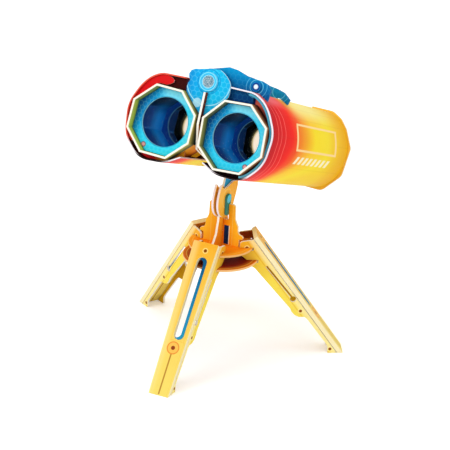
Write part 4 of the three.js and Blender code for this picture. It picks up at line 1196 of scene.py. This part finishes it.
# Studio, in metres and watts, and the camera at the photograph's viewing angle
WHITE = (1, 1, 1, 1)
FLOOR_HALF, FLOOR_DROP, FLOOR_GLOW = 6.0, 0.0001, 0.27
FILL_LIGHT = 0.66
LAMP_AIM = Vector((0, -0.01, 0.13))
LAMPS = (
    ("key_lamp", (-0.75, -1.15, 1.05), 0.9, 9.0),
    ("top_lamp", (0.1, 0.1, 1.45), 1.2, 5.5),
    ("side_lamp", (1.3, -0.7, 0.6), 0.9, 3.6),
)
CAMERA_LENS, CAMERA_SENSOR, CAMERA_SHIFT = 251.76, 36.0, -0.0009
CAMERA_NEAR, CAMERA_FAR = 0.1, 30.0
CAMERA_TURN, CAMERA_ROLL = math.radians(25.0), math.radians(2.91)
CAMERA_BACK = Vector((0.3875, -0.8310, 0.3991)).normalized()
CAMERA_AIM, CAMERA_DISTANCE = Vector((2.05, -8.50, 107.3)) * MM, 2.487


def seen_rays(p):
    """1 for what the camera sees, straight or by gloss or glass; 0 for the light on the object."""
    rays = p.add("ShaderNodeLightPath").outputs
    straight_or_gloss = p.math("MAXIMUM", rays["Is Camera Ray"], rays["Is Glossy Ray"])
    return p.math("MAXIMUM", straight_or_gloss, rays["Is Transmission Ray"])


def build_floor():
    mesh = bmesh.new()
    corners = [(-1, -1), (1, -1), (1, 1), (-1, 1)]
    mesh.faces.new([mesh.verts.new((x * FLOOR_HALF, y * FLOOR_HALF, -FLOOR_DROP)) for x, y in corners])
    floor = piece_from(mesh, "studio_floor")
    material, p = new_paint("studio_floor_paint")
    shader = p.add("ShaderNodeBsdfPrincipled")
    pale = p.mix(p.noise(p.where(), 3.0), (0.985, 0.985, 0.985), (0.97, 0.97, 0.97))
    p.feed(shader.inputs["Base Color"], pale)
    shader.inputs["Roughness"].default_value = 0.9
    shader.inputs["Specular IOR Level"].default_value = 0.0
    shader.inputs["Emission Color"].default_value = WHITE
    p.feed(shader.inputs["Emission Strength"], p.times(seen_rays(p), FLOOR_GLOW))
    p.feed(p.add("ShaderNodeOutputMaterial").inputs["Surface"], shader.outputs["BSDF"])
    floor.data.materials.append(material)


def build_backdrop():
    """A white world for the camera, and a soft even fill for the object."""
    world = bpy.data.worlds.new("studio_world")
    world.use_nodes = True
    world.node_tree.nodes.clear()
    bpy.context.scene.world = world
    p = Paint(world.node_tree)
    fill = p.add("ShaderNodeBackground")
    fill.inputs["Color"].default_value = WHITE
    fill.inputs["Strength"].default_value = FILL_LIGHT
    backdrop = p.add("ShaderNodeBackground")
    backdrop.inputs["Color"].default_value = WHITE
    both = p.add("ShaderNodeMixShader")
    for socket, value in zip(both.inputs, (seen_rays(p), fill.outputs[0], backdrop.outputs[0])):
        p.feed(socket, value)
    p.feed(p.add("ShaderNodeOutputWorld").inputs["Surface"], both.outputs[0])


def build_lamps():
    for name, spot, size, power in LAMPS:
        data = bpy.data.lights.new(name, "AREA")
        data.shape = "DISK"
        data.size = size
        data.energy = power
        lamp = bpy.data.objects.new(name, data)
        bpy.context.scene.collection.objects.link(lamp)
        lamp.location = spot
        lamp.rotation_mode = "QUATERNION"
        lamp.rotation_quaternion = (LAMP_AIM - Vector(spot)).to_track_quat("-Z", "Y")
        lamp.visible_glossy = False


def build_camera():
    data = bpy.data.cameras.new("front_view")
    data.sensor_width = CAMERA_SENSOR
    data.lens = CAMERA_LENS
    data.shift_y = CAMERA_SHIFT
    data.clip_start, data.clip_end = CAMERA_NEAR, CAMERA_FAR
    camera = bpy.data.objects.new("front_view", data)
    bpy.context.scene.collection.objects.link(camera)
    level = Vector((math.cos(CAMERA_TURN), math.sin(CAMERA_TURN), 0))
    upright = level.cross(-CAMERA_BACK)
    right = level * math.cos(CAMERA_ROLL) + upright * math.sin(CAMERA_ROLL)
    up = upright * math.cos(CAMERA_ROLL) - level * math.sin(CAMERA_ROLL)
    stand = CAMERA_AIM + CAMERA_BACK * CAMERA_DISTANCE
    columns = [vector.to_4d() for vector in (right, up, CAMERA_BACK, stand)]
    for column, last in zip(columns, (0, 0, 0, 1)):
        column.w = last
    camera.matrix_world = Matrix(columns).transposed()
    bpy.context.scene.camera = camera
    bpy.context.scene.view_settings.view_transform = "Standard"


dress_tripod()
dress_bridge()
dress_barrels()
build_shells()
build_lip()
build_crescent()
build_lenses()
build_floor()
build_backdrop()
build_lamps()
build_camera()
